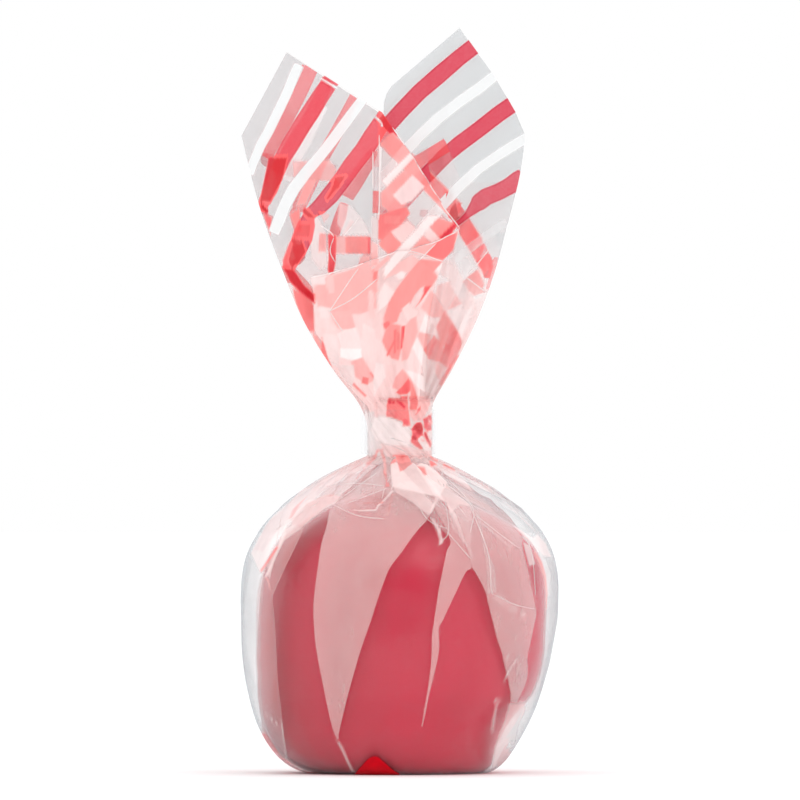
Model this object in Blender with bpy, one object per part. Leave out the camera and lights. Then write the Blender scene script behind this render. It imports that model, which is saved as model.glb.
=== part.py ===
"""Toffee apple twisted up in a clear printed film bag.

Two pieces: film_bag, the sealed bag with the apple in it, as one solid out to its film, and
neck_tape, the clear tape that holds its twisted neck. Metres, +Z up. The origin is the middle
of the flat base, and the bag's mouth is spread along X, as it is seen from -Y.
"""

from math import cos, exp, pi, sin, sqrt

import bmesh
import bpy
from mathutils import Vector

MM = 0.001

# Driving dimensions, in millimetres. Heights are above the surface that the apple stands on.
HEIGHT = 190.0
BULB_RADIUS = 40.5
BULB_WIDEST_AT = 44.0
BULB_DEPTH_SHARE = 0.975  # depth front to back, as a share of the width
FOOT_RADIUS = 21.5  # the flat that the apple stands on
NECK_RADIUS = 7.9
NECK_BOTTOM = 80.4
NECK_TOP = 93.0
SHOULDER_POWER = 2.7  # how square the shoulders are, 2 being an ellipse
BASE_LEAN = 2.1  # how far the lower bulb sags to the left, at most
BASE_LEAN_ENDS_AT = 40.0

# The spread mouth, as corners of its outline seen from the front: (across, height).
MOUTH_LEFT = (-40.4, 161.4)
LEFT_PEAK = (-28.9, 183.9)
NOTCH = (-4.2, 168.8)
RIGHT_PEAK = (15.2, HEIGHT)
RIGHT_SLOPE = (30.0, 167.3)
MOUTH_RIGHT = (32.3, 160.6)
LEFT_EDGE_BOW = (-27.4, 112.0)  # control point of the curve from the neck to MOUTH_LEFT
RIGHT_EDGE_BOW = (24.0, 115.0)

# The left lobe of the mouth stands forward, and the right one back. These are the faces of the layers
# together, at places along the mouth from its left edge to its right. Towards the front is -Y.
MOUTH_PLACES = (0.0, 0.42, 0.52, 1.0)  # the left edge, either side of the notch, the right edge
MOUTH_FRONT = (-6.5, -8.6, 1.0, 4.2)
MOUTH_BACK = (1.0, 4.2, 4.2, 6.3)
MOUTH_FOLD = 0.3  # how round the side folds are, less being blunter
RIPPLE = 0.8  # smaller waves along the mouth
GATHER_FADES = 3.0  # how soon the neck's roundness fades up the fan

# Two loose leaves of the bag's front stand off in front of the fan: the flap that crosses from the
# notch to its corner over the right lobe, and the cuff under it, which is turned down lower.
FLAP_CORNER = (15.2, 138.9)
CUFF_CORNER = (-22.8, 126.3)
LEAF_ROOT = (-4.5, 92.0)  # the left end of a leaf's root, which is sunk in the neck
LEAF_ROOT_DEPTH = -4.5
LEAF_RIGHT_BOW = (4.5, 118.0)  # control points of the leaves' side edges
FLAP_LEFT_BOW = (-6.0, 128.0)
CUFF_LEFT_BOW = (-24.5, 106.0)
FLAP_STANDS = (-6.6, -8.8)  # front faces, at the left edge and at the right
CUFF_STANDS = (-9.2, -10.6)
FLAP_THICKNESS = 1.8
CUFF_THICKNESS = 2.6
LEAF_RISES_BY = 0.45  # the share of a leaf's height over which it comes forward

# Gathered pleats.
PLEATS = 13
SHOULDER_PLEAT = 0.9  # height of the pleats where the shoulder meets the neck
NECK_PLEAT = 0.35
PLEAT_TWIST = 0.9  # radians that the pleats turn from the shoulder's rim to the neck

AROUND = 72  # points in each cross-section
BASE_RINGS = 13
SHOULDER_RINGS = 14
NECK_RINGS = 4
FAN_ROWS = 14
LEAF_ROWS = 14

# The clear tape round the neck.
TAPE_GAP = 0.35
TAPE_WALL = 0.45
TAPE_BOTTOM = 81.2
TAPE_HEIGHT = 11.4
TAPE_TAIL_LENGTH = 7.5
TAPE_TAIL_LIFT = 0.9
TAPE_SIDES = 48


def clear_scene():
    for found in list(bpy.data.objects):
        bpy.data.objects.remove(found)


def smooth_step(low, high, value):
    share = min(max((value - low) / (high - low), 0.0), 1.0)
    return share * share * (3 - 2 * share)


def bezier(start, control, end, share):
    rest = 1 - share
    return start * rest * rest + control * 2 * rest * share + end * share * share


def bulb_radius(height):
    """Radius of the wrapped apple: a quarter ellipse up from the foot, then a shoulder in to the neck."""
    if height <= BULB_WIDEST_AT:
        drop = (BULB_WIDEST_AT - height) / BULB_WIDEST_AT
        return FOOT_RADIUS + (BULB_RADIUS - FOOT_RADIUS) * sqrt(max(1 - drop * drop, 0.0))
    rise = (height - BULB_WIDEST_AT) / (NECK_BOTTOM - BULB_WIDEST_AT)
    return NECK_RADIUS + (BULB_RADIUS - NECK_RADIUS) * (1 - rise**SHOULDER_POWER)


def pleat_height(angle, height):
    """How far the gathered film stands off the even surface of the shoulder and the neck."""
    rise = smooth_step(BULB_WIDEST_AT + 8, NECK_BOTTOM, height)
    size = SHOULDER_PLEAT * rise
    if height > NECK_BOTTOM:
        size = NECK_PLEAT
    turned = angle + PLEAT_TWIST * rise
    return size * (0.7 * cos(PLEATS * turned) + 0.3 * cos((2 * PLEATS - 5) * turned + 1.0))


def base_lean(height):
    """The lower bulb's sideways sag at a height."""
    if not 0 < height < BASE_LEAN_ENDS_AT:
        return 0.0
    return BASE_LEAN * sin(pi * sqrt(height / BASE_LEAN_ENDS_AT))


def bulb_ring(height):
    """A cross-section of the bulb or the neck, starting at -X and running round through the front."""
    ring = []
    for step in range(AROUND):
        angle = pi + 2 * pi * step / AROUND
        radius = bulb_radius(height) if height < NECK_BOTTOM else NECK_RADIUS
        radius += pleat_height(angle, height)
        depth = 1 - (1 - BULB_DEPTH_SHARE) * min(radius / BULB_RADIUS, 1.0)
        ring.append(
            Vector((radius * cos(angle) - base_lean(height), radius * depth * sin(angle), height))
        )
    return ring


def mouth_outline():
    """The mouth's edge from left to right, as one (across, height) for each half-section point."""
    half = AROUND // 2
    corners = (
        (0, MOUTH_LEFT),
        (8, LEFT_PEAK),
        (17, NOTCH),
        (26, RIGHT_PEAK),
        (33, RIGHT_SLOPE),
        (half, MOUTH_RIGHT),
    )
    outline = []
    for (first, start), (last, end) in zip(corners, corners[1:]):
        start, end = Vector(start), Vector(end)
        outline += [start.lerp(end, step / (last - first)) for step in range(last - first)]
    return [*outline, Vector(MOUTH_RIGHT)]


def along_mouth(across, faces):
    """Where a face of the mouth stands, across being 0 at its left edge and 1 at its right."""
    for left, right, start, end in zip(MOUTH_PLACES, MOUTH_PLACES[1:], faces, faces[1:]):
        if across <= right:
            return start + (end - start) * (across - left) / (right - left)
    return faces[-1]


def cross_section(points, middles, halves):
    """A row of film layers: its front from left to right, then its back from right to left."""
    front = [Vector((p.x, mid - half, p.y)) for p, mid, half in zip(points, middles, halves)]
    back = [Vector((p.x, mid + half, p.y)) for p, mid, half in zip(points, middles, halves)]
    return front + back[-2:0:-1]


def fan_row(rise):
    """A cross-section of the fan, from the round neck at rise 0 to the spread mouth at rise 1."""
    half = AROUND // 2
    mouth = mouth_outline()
    left_bow = Vector(LEFT_EDGE_BOW) - (Vector((-NECK_RADIUS, NECK_TOP)) + mouth[0]) / 2
    right_bow = Vector(RIGHT_EDGE_BOW) - (Vector((NECK_RADIUS, NECK_TOP)) + mouth[half]) / 2
    spread = smooth_step(0, 1, rise)
    points, middles, halves = [], [], []
    for step in range(half + 1):
        across = step / half
        start = Vector((-NECK_RADIUS * cos(pi * across), NECK_TOP))
        # Between the two sides the bow fades, so that the middle of the fan rises straight.
        bow = left_bow * max(1 - 2 * across, 0.0) ** 1.5 + right_bow * max(2 * across - 1, 0.0) ** 1.5
        points.append(bezier(start, (start + mouth[step]) / 2 + bow, mouth[step], rise))
        front, back = along_mouth(across, MOUTH_FRONT), along_mouth(across, MOUTH_BACK)
        middles.append(spread * ((front + back) / 2 + RIPPLE * sin(5 * pi * across)))
        folded = max(sin(pi * across), 0.0)
        gathered = NECK_RADIUS * folded * exp(-GATHER_FADES * rise)
        halves.append(gathered + spread * (back - front) / 2 * folded**MOUTH_FOLD)
    return cross_section(points, middles, halves)


def leaf_row(left, right, stands, thickness, rise):
    """A cross-section of a loose leaf, whose edges left and right are curves from its root up."""
    half = AROUND // 2
    start, end = bezier(*left, rise), bezier(*right, rise)
    forward = smooth_step(0, LEAF_RISES_BY, rise)
    points, middles, halves = [], [], []
    for step in range(half + 1):
        across = step / half
        points.append(start.lerp(end, across))
        stand = stands[0] + (stands[1] - stands[0]) * across + thickness / 2
        middles.append(LEAF_ROOT_DEPTH + (stand - LEAF_ROOT_DEPTH) * forward)
        halves.append(thickness / 2 * max(sin(pi * across), 0.0) ** MOUTH_FOLD)
    return cross_section(points, middles, halves)


def bag_rings():
    """All cross-sections from the foot to the mouth, closest together where the bulb curves most."""
    heights = [
        BULB_WIDEST_AT * (1 - cos(pi / 2 * step / BASE_RINGS)) for step in range(BASE_RINGS)
    ]
    shoulder = NECK_BOTTOM - BULB_WIDEST_AT
    heights += [
        BULB_WIDEST_AT + shoulder * sin(pi / 2 * step / SHOULDER_RINGS)
        for step in range(SHOULDER_RINGS)
    ]
    heights += [
        NECK_BOTTOM + (NECK_TOP - NECK_BOTTOM) * step / NECK_RINGS for step in range(NECK_RINGS)
    ]
    rings = [bulb_ring(height) for height in heights]
    # The first row of the fan is the top of the neck.
    return rings + [fan_row(step / FAN_ROWS) for step in range(FAN_ROWS + 1)]


def skin(rings, close_top):
    """A mesh over the rings, closed by a flat face at the foot and by close_top at the other end."""
    shape = bmesh.new()
    rows = [[shape.verts.new(point * MM) for point in ring] for ring in rings]
    for low, high in zip(rows, rows[1:]):
        for step in range(AROUND):
            after = (step + 1) % AROUND
            shape.faces.new((low[step], low[after], high[after], high[step]))
    shape.faces.new(reversed(rows[0]))
    close_top(shape, rows[-1])
    return shape


def close_mouth(shape, row):
    """Bridges the front and back edges of the mouth, which meet at its two ends."""
    half = AROUND // 2
    shape.faces.new((row[0], row[1], row[-1]))
    for step in range(1, half - 1):
        shape.faces.new((row[step], row[step + 1], row[AROUND - step - 1], row[AROUND - step]))
    shape.faces.new((row[half - 1], row[half], row[half + 1]))


def material(name, colour, roughness, alpha=1.0):
    made = bpy.data.materials.new(name)
    made.use_nodes = True
    shader = made.node_tree.nodes["Principled BSDF"]
    shader.inputs["Base Color"].default_value = (*colour, 1.0)
    shader.inputs["Roughness"].default_value = roughness
    shader.inputs["Metallic"].default_value = 0.0
    shader.inputs["Alpha"].default_value = alpha
    return made


def add_object(name, shape, finish, sharp_angle):
    """Turns a bmesh into a named, smooth-shaded object with one material."""
    bmesh.ops.recalc_face_normals(shape, faces=shape.faces)
    mesh = bpy.data.meshes.new(name)
    shape.to_mesh(mesh)
    shape.free()
    mesh.materials.append(finish)
    mesh.shade_smooth()
    mesh.set_sharp_from_angle(angle=sharp_angle)
    made = bpy.data.objects.new(name, mesh)
    bpy.context.scene.collection.objects.link(made)
    return made


def join_onto(whole, piece, name):
    """Unites a helper solid with an object, and keeps the helper only as the union's operand."""
    piece.hide_render = True
    piece.display_type = "WIRE"
    union = whole.modifiers.new(name, "BOOLEAN")
    union.operation = "UNION"
    union.object = piece


def add_film_bag():
    finish = material("printed_film_over_toffee", (0.55, 0.10, 0.14), 0.25)
    bag = add_object("film_bag", skin(bag_rings(), close_mouth), finish, sharp_angle=pi / 4)
    right_root = (-LEAF_ROOT[0], LEAF_ROOT[1])
    for name, left_bow, top_left, stands, thickness in (
        ("front_flap", FLAP_LEFT_BOW, NOTCH, FLAP_STANDS, FLAP_THICKNESS),
        ("cuff", CUFF_LEFT_BOW, CUFF_CORNER, CUFF_STANDS, CUFF_THICKNESS),
    ):
        left = [Vector(corner) for corner in (LEAF_ROOT, left_bow, top_left)]
        right = [Vector(corner) for corner in (right_root, LEAF_RIGHT_BOW, FLAP_CORNER)]
        rows = [
            leaf_row(left, right, stands, thickness, step / LEAF_ROWS)
            for step in range(LEAF_ROWS + 1)
        ]
        leaf = add_object(name, skin(rows, close_mouth), finish, sharp_angle=pi / 4)
        join_onto(bag, leaf, name)
    return bag


def tape_section(inner, outer, angle):
    """The two points across the tape's wall at an angle round the neck."""
    way = Vector((cos(angle), sin(angle), 0.0))
    return way * inner, way * outer


def add_tape_wall(shape, pairs, closed):
    """Builds a wall of the tape's height on (inner, outer) pairs of points."""
    lift = Vector((0.0, 0.0, TAPE_HEIGHT))
    foot = Vector((0.0, 0.0, TAPE_BOTTOM))
    columns = []
    for inner, outer in pairs:
        corners = (inner + foot, outer + foot, outer + foot + lift, inner + foot + lift)
        columns.append([shape.verts.new(point * MM) for point in corners])
    following = columns[1:] + columns[:1] if closed else columns[1:]
    for this, after in zip(columns, following):
        for side in range(4):
            beside = (side + 1) % 4
            shape.faces.new((this[side], this[beside], after[beside], after[side]))
    if not closed:
        shape.faces.new(reversed(columns[0]))
        shape.faces.new(columns[-1])


def add_neck_tape():
    """A ring of tape, and its tail, which leaves the ring on the left and lifts away from it."""
    inner = NECK_RADIUS + NECK_PLEAT + TAPE_GAP
    outer = inner + TAPE_WALL
    ring = bmesh.new()
    turns = [2 * pi * step / TAPE_SIDES for step in range(TAPE_SIDES)]
    add_tape_wall(ring, [tape_section(inner, outer, turn) for turn in turns], closed=True)
    finish = material("clear_tape", (0.86, 0.87, 0.88), 0.15, alpha=0.35)
    tape = add_object("neck_tape", ring, finish, sharp_angle=pi / 4)

    tail = bmesh.new()
    start, sweep, steps = 1.25 * pi, TAPE_TAIL_LENGTH / outer, 8
    pairs = []
    for step in range(steps + 1):
        share = step / steps
        # The tail's root is sunk into the ring, and its end stands off.
        lift = TAPE_TAIL_LIFT * share**1.5
        pairs.append(tape_section(inner + 0.15 + lift, outer + 0.1 + lift, start - sweep * share))
    add_tape_wall(tail, pairs, closed=False)
    join_onto(tape, add_object("tape_tail", tail, finish, sharp_angle=pi / 4), "tail")
    return tape


def build():
    clear_scene()
    add_film_bag()
    add_neck_tape()


build()
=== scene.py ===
"""The looks of a toffee apple in a clear striped film bag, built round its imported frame.

Lengths in the tables below are millimetres, with X to the right and Z up as seen from the front, which
is -Y. The film is laid sheet by sheet, as the gathered bag folds it: the body round the apple with its
pleats, the gathers in the neck, and the loose leaves of the fan.
"""

from math import atan2, ceil, cos, degrees, exp, hypot, pi, radians, sin, sqrt

import bmesh
import bpy
import numpy as np
from bpy.props import FloatProperty, FloatVectorProperty, IntProperty, PointerProperty
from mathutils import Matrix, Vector, noise


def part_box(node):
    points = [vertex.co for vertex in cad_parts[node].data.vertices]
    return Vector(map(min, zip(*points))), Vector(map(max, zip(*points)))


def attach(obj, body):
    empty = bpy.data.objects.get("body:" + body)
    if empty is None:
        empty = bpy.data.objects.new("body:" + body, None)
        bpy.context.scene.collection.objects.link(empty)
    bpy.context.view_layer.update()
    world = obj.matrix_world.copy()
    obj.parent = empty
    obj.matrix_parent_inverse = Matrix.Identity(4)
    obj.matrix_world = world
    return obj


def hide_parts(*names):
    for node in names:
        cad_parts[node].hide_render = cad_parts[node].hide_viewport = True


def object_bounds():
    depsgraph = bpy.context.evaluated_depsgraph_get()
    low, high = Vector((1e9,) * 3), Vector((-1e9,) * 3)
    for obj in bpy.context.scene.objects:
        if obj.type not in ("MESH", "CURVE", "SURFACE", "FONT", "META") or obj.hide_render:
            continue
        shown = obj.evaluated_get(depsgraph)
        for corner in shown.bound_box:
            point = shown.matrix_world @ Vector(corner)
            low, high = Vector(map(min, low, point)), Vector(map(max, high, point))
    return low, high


bl_info = {
    "name": "Toffee Apple in a Film Bag",
    "version": (1, 0, 0),
    "blender": (4, 5, 0),
    "location": "View3D > Sidebar > Toffee Apple",
    "description": "Dresses the packed toffee apple with toffee, printed film, tape and a studio",
    "category": "Add Mesh",
}

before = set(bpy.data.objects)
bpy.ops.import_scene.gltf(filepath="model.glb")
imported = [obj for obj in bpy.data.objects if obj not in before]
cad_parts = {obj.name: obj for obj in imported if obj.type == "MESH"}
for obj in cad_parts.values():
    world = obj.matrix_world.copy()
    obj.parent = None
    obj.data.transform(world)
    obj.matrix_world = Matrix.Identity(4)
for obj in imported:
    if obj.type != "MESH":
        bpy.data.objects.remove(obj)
CAD_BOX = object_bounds()
MM = 0.001


def linear(hex_colour):
    """An sRGB hex value as linear red, green and blue."""
    channels = [int(hex_colour[start : start + 2], 16) / 255 for start in (0, 2, 4)]
    return tuple(c / 12.92 if c <= 0.04045 else ((c + 0.055) / 1.055) ** 2.4 for c in channels)


# ---------------------------------------------------------------------------- sizes and colours


def length(name, description, default):
    return FloatProperty(
        name=name, description=description, default=default * MM, unit="LENGTH", subtype="DISTANCE"
    )


def colour(name, description, hex_colour):
    return FloatVectorProperty(
        name=name,
        description=description,
        default=linear(hex_colour),
        subtype="COLOR",
        size=3,
        min=0.0,
        max=1.0,
    )


class ToffeeAppleSettings(bpy.types.PropertyGroup):
    """The dipped apple."""

    height: length("Height", "From the surface it stands on to its top", 72.4)
    width: length("Width", "Across the toffee coat", 73.6)
    coat_unevenness: length("Coat unevenness", "How far the toffee's runs stand out or fall short", 0.3)
    toffee: colour("Toffee", "The hard red toffee coat", "cd0a38")
    # Painted light: lighter than the toffee coat, so that the drop, which faces down towards the floor, looks lit.
    drop: colour("Foot drop", "The toffee that stuck to the film at the foot", "de001c")


class FilmSettings(bpy.types.PropertyGroup):
    """The bag's film and its print."""

    thickness: length("Thickness", "Of the film, drawn thicker than the real 0.03 mm", 0.09)
    layer_gap: length("Layer gap", "Between film layers that lie on each other", 0.35)
    stripe_period: length("Stripe period", "From one red stripe to the next", 17.8)
    red_width: length("Red stripe", "Width of a red stripe", 4.5)
    white_width: length("White stripe", "Width of a white stripe", 2.7)
    red_ink: colour("Red ink", "Translucent red ink", "d6003a")
    # Painted light: a lighter copy of the red ink, as if lit from all sides among many layers of film.
    painted_lit_ink: colour("Lit red ink", "The red ink among many layers", "ff5a5c")
    white_ink: colour("White ink", "Translucent white ink", "f0f2f2")


class NeckTapeSettings(bpy.types.PropertyGroup):
    """The clear tape round the neck."""

    # Painted highlight: the faint bright line at the tape's cut edges.
    edge_width: length("Edge line", "Width of the bright line at the tape's cut edges", 0.3)
    tint: colour("Tint", "The tape's faint body colour", "eef1f2")


class StageSettings(bpy.types.PropertyGroup):
    """The floor, the light and the camera."""

    floor_tone: colour("Floor", "The pale floor", "fafafa")
    distance: length("Camera distance", "From the camera to the middle of the object", 7000.0)
    view_height: length("View height", "What the picture takes in, top to bottom", 204.0)


# ---------------------------------------------------------------------------- curves and sheets


def ease(low, high, value):
    share = min(max((value - low) / (high - low), 0.0), 1.0)
    return share * share * (3 - 2 * share)


def evenly(points, count):
    """count + 1 points at equal distances along a line through the given points."""
    points = np.array(points, float)
    along = np.concatenate([[0], np.cumsum(np.linalg.norm(np.diff(points, axis=0), axis=1))])
    wanted = np.linspace(0, along[-1], count + 1)
    return np.stack([np.interp(wanted, along, points[:, k]) for k in range(2)], axis=1)


def smoothly(points, count):
    """count + 1 points at equal distances along a smooth curve through the given points."""
    if len(points) < 3:
        return evenly(points, count)
    points = np.array(points, float)
    padded = np.vstack([2 * points[0] - points[1], points, 2 * points[-1] - points[-2]])
    fine = []
    for first in range(len(points) - 1):
        a, b, c, d = padded[first : first + 4]
        for t in np.linspace(0, 1, 12, endpoint=False):
            fine.append(
                0.5
                * (2 * b + (c - a) * t + (2 * a - 5 * b + 4 * c - d) * t**2 + (3 * b - a - 3 * c + d) * t**3)
            )
    return evenly([*fine, points[-1]], count)


def with_corners(points, count):
    """count + 1 points along straight runs between corners, with a point on each corner."""
    points = np.array(points, float)
    runs = np.linalg.norm(np.diff(points, axis=0), axis=1)
    ends = np.round(np.cumsum(runs) / runs.sum() * count).astype(int)
    laid, start = [], 0
    for first, end in enumerate(ends):
        steps = max(end - start, 1)
        shares = np.linspace(0, 1, steps, endpoint=False)[:, None]
        laid.append(points[first] * (1 - shares) + points[first + 1] * shares)
        start = start + steps
    laid = np.vstack([*laid, points[-1:]])
    return laid[: count + 1] if len(laid) > count else evenly(points, count)


def fill(bottom, top, left, right):
    """The points of a sheet between four edges that meet at its corners (a Coons patch)."""
    rows, columns = len(left), len(bottom)
    up = np.linspace(0, 1, rows)[:, None, None]
    across = np.linspace(0, 1, columns)[None, :, None]
    ruled = (1 - up) * bottom[None] + up * top[None] + (1 - across) * left[:, None] + across * right[:, None]
    corners = (
        (1 - up) * (1 - across) * bottom[0]
        + (1 - up) * across * bottom[-1]
        + up * (1 - across) * top[0]
        + up * across * top[-1]
    )
    return ruled - corners


def crumple(x, z, size, seed):
    """Height of flat facets with sharp creases between them, about as wide as size, from -1 to 1."""
    here = Vector((x / size, seed, z / (1.5 * size)))
    near, far = (noise.voronoi(here)[0][k] for k in (0, 1))
    return (far - near) * 1.2 + noise.noise(here * 0.6) - 0.5


def within(flat, corners):
    """How far inside an outline each point is, in mm, and negative outside. Two corners are a fine crease."""
    x, z = flat[..., 0], flat[..., 1]
    nearest = np.full(x.shape, 1e9)
    enclosed = np.zeros(x.shape, bool)
    for (xa, za), (xb, zb) in zip(corners, (*corners[1:], corners[0])):
        run, rise = xb - xa, zb - za
        share = np.clip(((x - xa) * run + (z - za) * rise) / (run * run + rise * rise), 0, 1)
        nearest = np.minimum(nearest, np.hypot(x - xa - share * run, z - za - share * rise))
        if rise:
            enclosed ^= ((za > z) != (zb > z)) & (x < xa + (z - za) * run / rise)
    if len(corners) == 2:
        return CREASE_WIDTH / 2 - nearest
    return np.where(enclosed, nearest, -nearest)


CREASE_WIDTH = 0.3


def paint(flat, film, blush, patches, soft=0.4):
    """Lays folded film over a sheet, patch after patch, each with its haze, its tint and its grey, which is painted
    shade.
    """
    for haze, tint, grey, corners in patches:
        share = np.clip(within(flat, corners) / soft + 0.5, 0, 1)
        film[..., 0] += share * (haze - film[..., 0])
        film[..., 1] += share * (grey - film[..., 1])
        blush += share * (tint - blush)


FILM_GLOSS = 0.4


def lay_film(name, points, printed, film, blush=0.0, gloss=FILM_GLOSS):
    """Lays a flat grid over points (rows up, columns across, in mm) and gives it the film's thickness.

    printed is how far inside a red and a white stripe each point is, in mm, and film its haze, its grey,
    and how strong its red and its white ink are. blush is how far red print behind it tints its haze.
    """
    rows, columns = points.shape[:2]
    bpy.ops.object.select_all(action="DESELECT")
    bpy.ops.mesh.primitive_grid_add(x_subdivisions=columns - 1, y_subdivisions=rows - 1, size=1.0)
    sheet = bpy.context.object
    sheet.name = sheet.data.name = name
    mesh = sheet.data
    mesh.vertices.foreach_set("co", (points * MM).astype(np.float32).ravel())
    corners = np.empty(len(mesh.loops), np.int32)
    mesh.loops.foreach_get("vertex_index", corners)
    while mesh.uv_layers:
        mesh.uv_layers.remove(mesh.uv_layers[0])
    layer = mesh.uv_layers.new(name="print")
    layer.data.foreach_set("uv", printed.reshape(-1, 2)[corners].astype(np.float32).ravel())
    attribute = mesh.attributes.new("film", "FLOAT_COLOR", "POINT")
    attribute.data.foreach_set("color", film.reshape(-1, 4).astype(np.float32).ravel())
    tint = mesh.attributes.new("blush", "FLOAT", "POINT")
    tint.data.foreach_set("value", np.broadcast_to(blush, (rows, columns)).astype(np.float32).ravel())
    for made in film_materials(gloss):
        mesh.materials.append(made)
    mesh.update()
    wall = sheet.modifiers.new("thickness", "SOLIDIFY")
    wall.thickness = bpy.context.scene.film.thickness
    wall.offset = 0.0
    wall.material_offset = 1
    wall.material_offset_rim = 0
    bpy.ops.object.modifier_apply(modifier="thickness")
    bpy.ops.object.shade_smooth_by_angle(angle=radians(50))
    return sheet


def join(name, pieces):
    """Joins like pieces into the first, under one name."""
    bpy.ops.object.select_all(action="DESELECT")
    for piece in pieces:
        piece.select_set(True)
    bpy.context.view_layer.objects.active = pieces[0]
    if len(pieces) > 1:
        bpy.ops.object.join()
    joined = bpy.context.object
    joined.name = joined.data.name = name
    bpy.ops.object.select_all(action="DESELECT")
    return joined


def stand_for_bag(piece):
    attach(piece, "root")
    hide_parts("film_bag")


# ---------------------------------------------------------------------------- the bag's own shape

# These repeat the frame's film_bag, so that the film lies where the solid is.
BULB_RADIUS = 40.5
BULB_WIDEST_AT = 44.0
BULB_DEPTH_SHARE = 0.975
FOOT_RADIUS = 21.5
NECK_RADIUS = 7.9
NECK_BOTTOM = 80.4
NECK_TOP = 93.0
SHOULDER_POWER = 2.7
BASE_LEAN = 2.1
BASE_LEAN_ENDS_AT = 40.0


def bulb_radius(height):
    if height <= BULB_WIDEST_AT:
        drop = (BULB_WIDEST_AT - max(height, 0.0)) / BULB_WIDEST_AT
        return FOOT_RADIUS + (BULB_RADIUS - FOOT_RADIUS) * sqrt(max(1 - drop * drop, 0.0))
    if height >= NECK_BOTTOM:
        return NECK_RADIUS
    rise = (height - BULB_WIDEST_AT) / (NECK_BOTTOM - BULB_WIDEST_AT)
    return NECK_RADIUS + (BULB_RADIUS - NECK_RADIUS) * (1 - rise**SHOULDER_POWER)


def base_lean(height):
    if not 0 < height < BASE_LEAN_ENDS_AT:
        return 0.0
    return BASE_LEAN * sin(pi * sqrt(height / BASE_LEAN_ENDS_AT))


def bulb_point(turn, height, lift=0.0):
    """A point on the bulb, turn radians round from the front towards +X, lifted off along its normal."""
    step = 0.05
    run = bulb_radius(height + step) - bulb_radius(max(height - step, 0.0))
    rise = height + step - max(height - step, 0.0)
    slope = hypot(run, rise)
    radius = bulb_radius(height) + lift * rise / slope
    depth = 1 - (1 - BULB_DEPTH_SHARE) * min(radius / BULB_RADIUS, 1.0)
    return (
        radius * sin(turn) - base_lean(height),
        -radius * depth * cos(turn),
        height - lift * run / slope,
    )


def turn_at(x, height):
    """How far round from the front a point of the bulb's front half is that shows at x."""
    share = (x + base_lean(height)) / bulb_radius(height)
    return atan2(share, sqrt(max(1 - share * share, 0.0)))


# ---------------------------------------------------------------------------- materials


def add_node(tree, kind, inputs=None, **settings):
    """Adds a node with its settings, and sets or links its inputs."""
    made = tree.nodes.new(kind)
    for key, value in settings.items():
        setattr(made, key, value)
    for socket, source in (inputs or {}).items():
        if isinstance(source, bpy.types.NodeSocket):
            tree.links.new(source, made.inputs[socket])
        else:
            made.inputs[socket].default_value = source
    return made


def maths(tree, operation, *values):
    return add_node(
        tree, "ShaderNodeMath", dict(enumerate(values)), operation=operation, use_clamp=False
    ).outputs[0]


def blend(tree, share, below, above):
    """Colour above over colour below, by share."""
    made = add_node(tree, "ShaderNodeMix", data_type="RGBA")
    for socket, source in ((0, share), (6, below), (7, above)):
        if isinstance(source, bpy.types.NodeSocket):
            tree.links.new(source, made.inputs[socket])
        else:
            made.inputs[socket].default_value = source
    return made.outputs[2]


def between(tree, value, start, end):
    """0 where value is at start and 1 where it is at end."""
    return add_node(
        tree, "ShaderNodeMapRange", {"Value": value, "From Min": start, "From Max": end}
    ).outputs[0]


def new_material(name):
    made = bpy.data.materials.new(name)
    made.use_nodes = True
    tree = made.node_tree
    return made, tree, tree.nodes["Principled BSDF"], tree.nodes["Material Output"]


def rgba(values):
    return (*values, 1.0)


HAZE_WHITE = linear("fbf6f5")
# Painted shade: the grey that clear film is given where it should look darker.
SHADE_GREY = linear("8a959b")
GLOSS_TINT = linear("e6ebee")
# What red print under many layers of film looks like, from none to two layers of it on each other.
BLUSHES = ("fcf1ef", "fcdbd8", "fdb7b3", "fb8f8b", "f9676a", "e23848", "cc0016")
DEEPEST_BLUSH = 1.5


def gloss_over(tree, base, output, roughness, weight):
    """Adds the film's mirror reflection, 4% head on and growing towards grazing, over the base shader."""
    facing = add_node(tree, "ShaderNodeLayerWeight", {"Blend": 0.5}).outputs["Facing"]
    grazing = maths(tree, "POWER", facing, 5.0)
    share = maths(tree, "MULTIPLY", maths(tree, "MULTIPLY_ADD", grazing, 0.96, 0.04), weight)
    glossy = add_node(tree, "ShaderNodeBsdfGlossy", {"Color": rgba(GLOSS_TINT), "Roughness": roughness})
    mixed = add_node(tree, "ShaderNodeMixShader", {0: share, 1: base, 2: glossy.outputs[0]})
    tree.links.new(mixed.outputs[0], output.inputs["Surface"])


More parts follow.
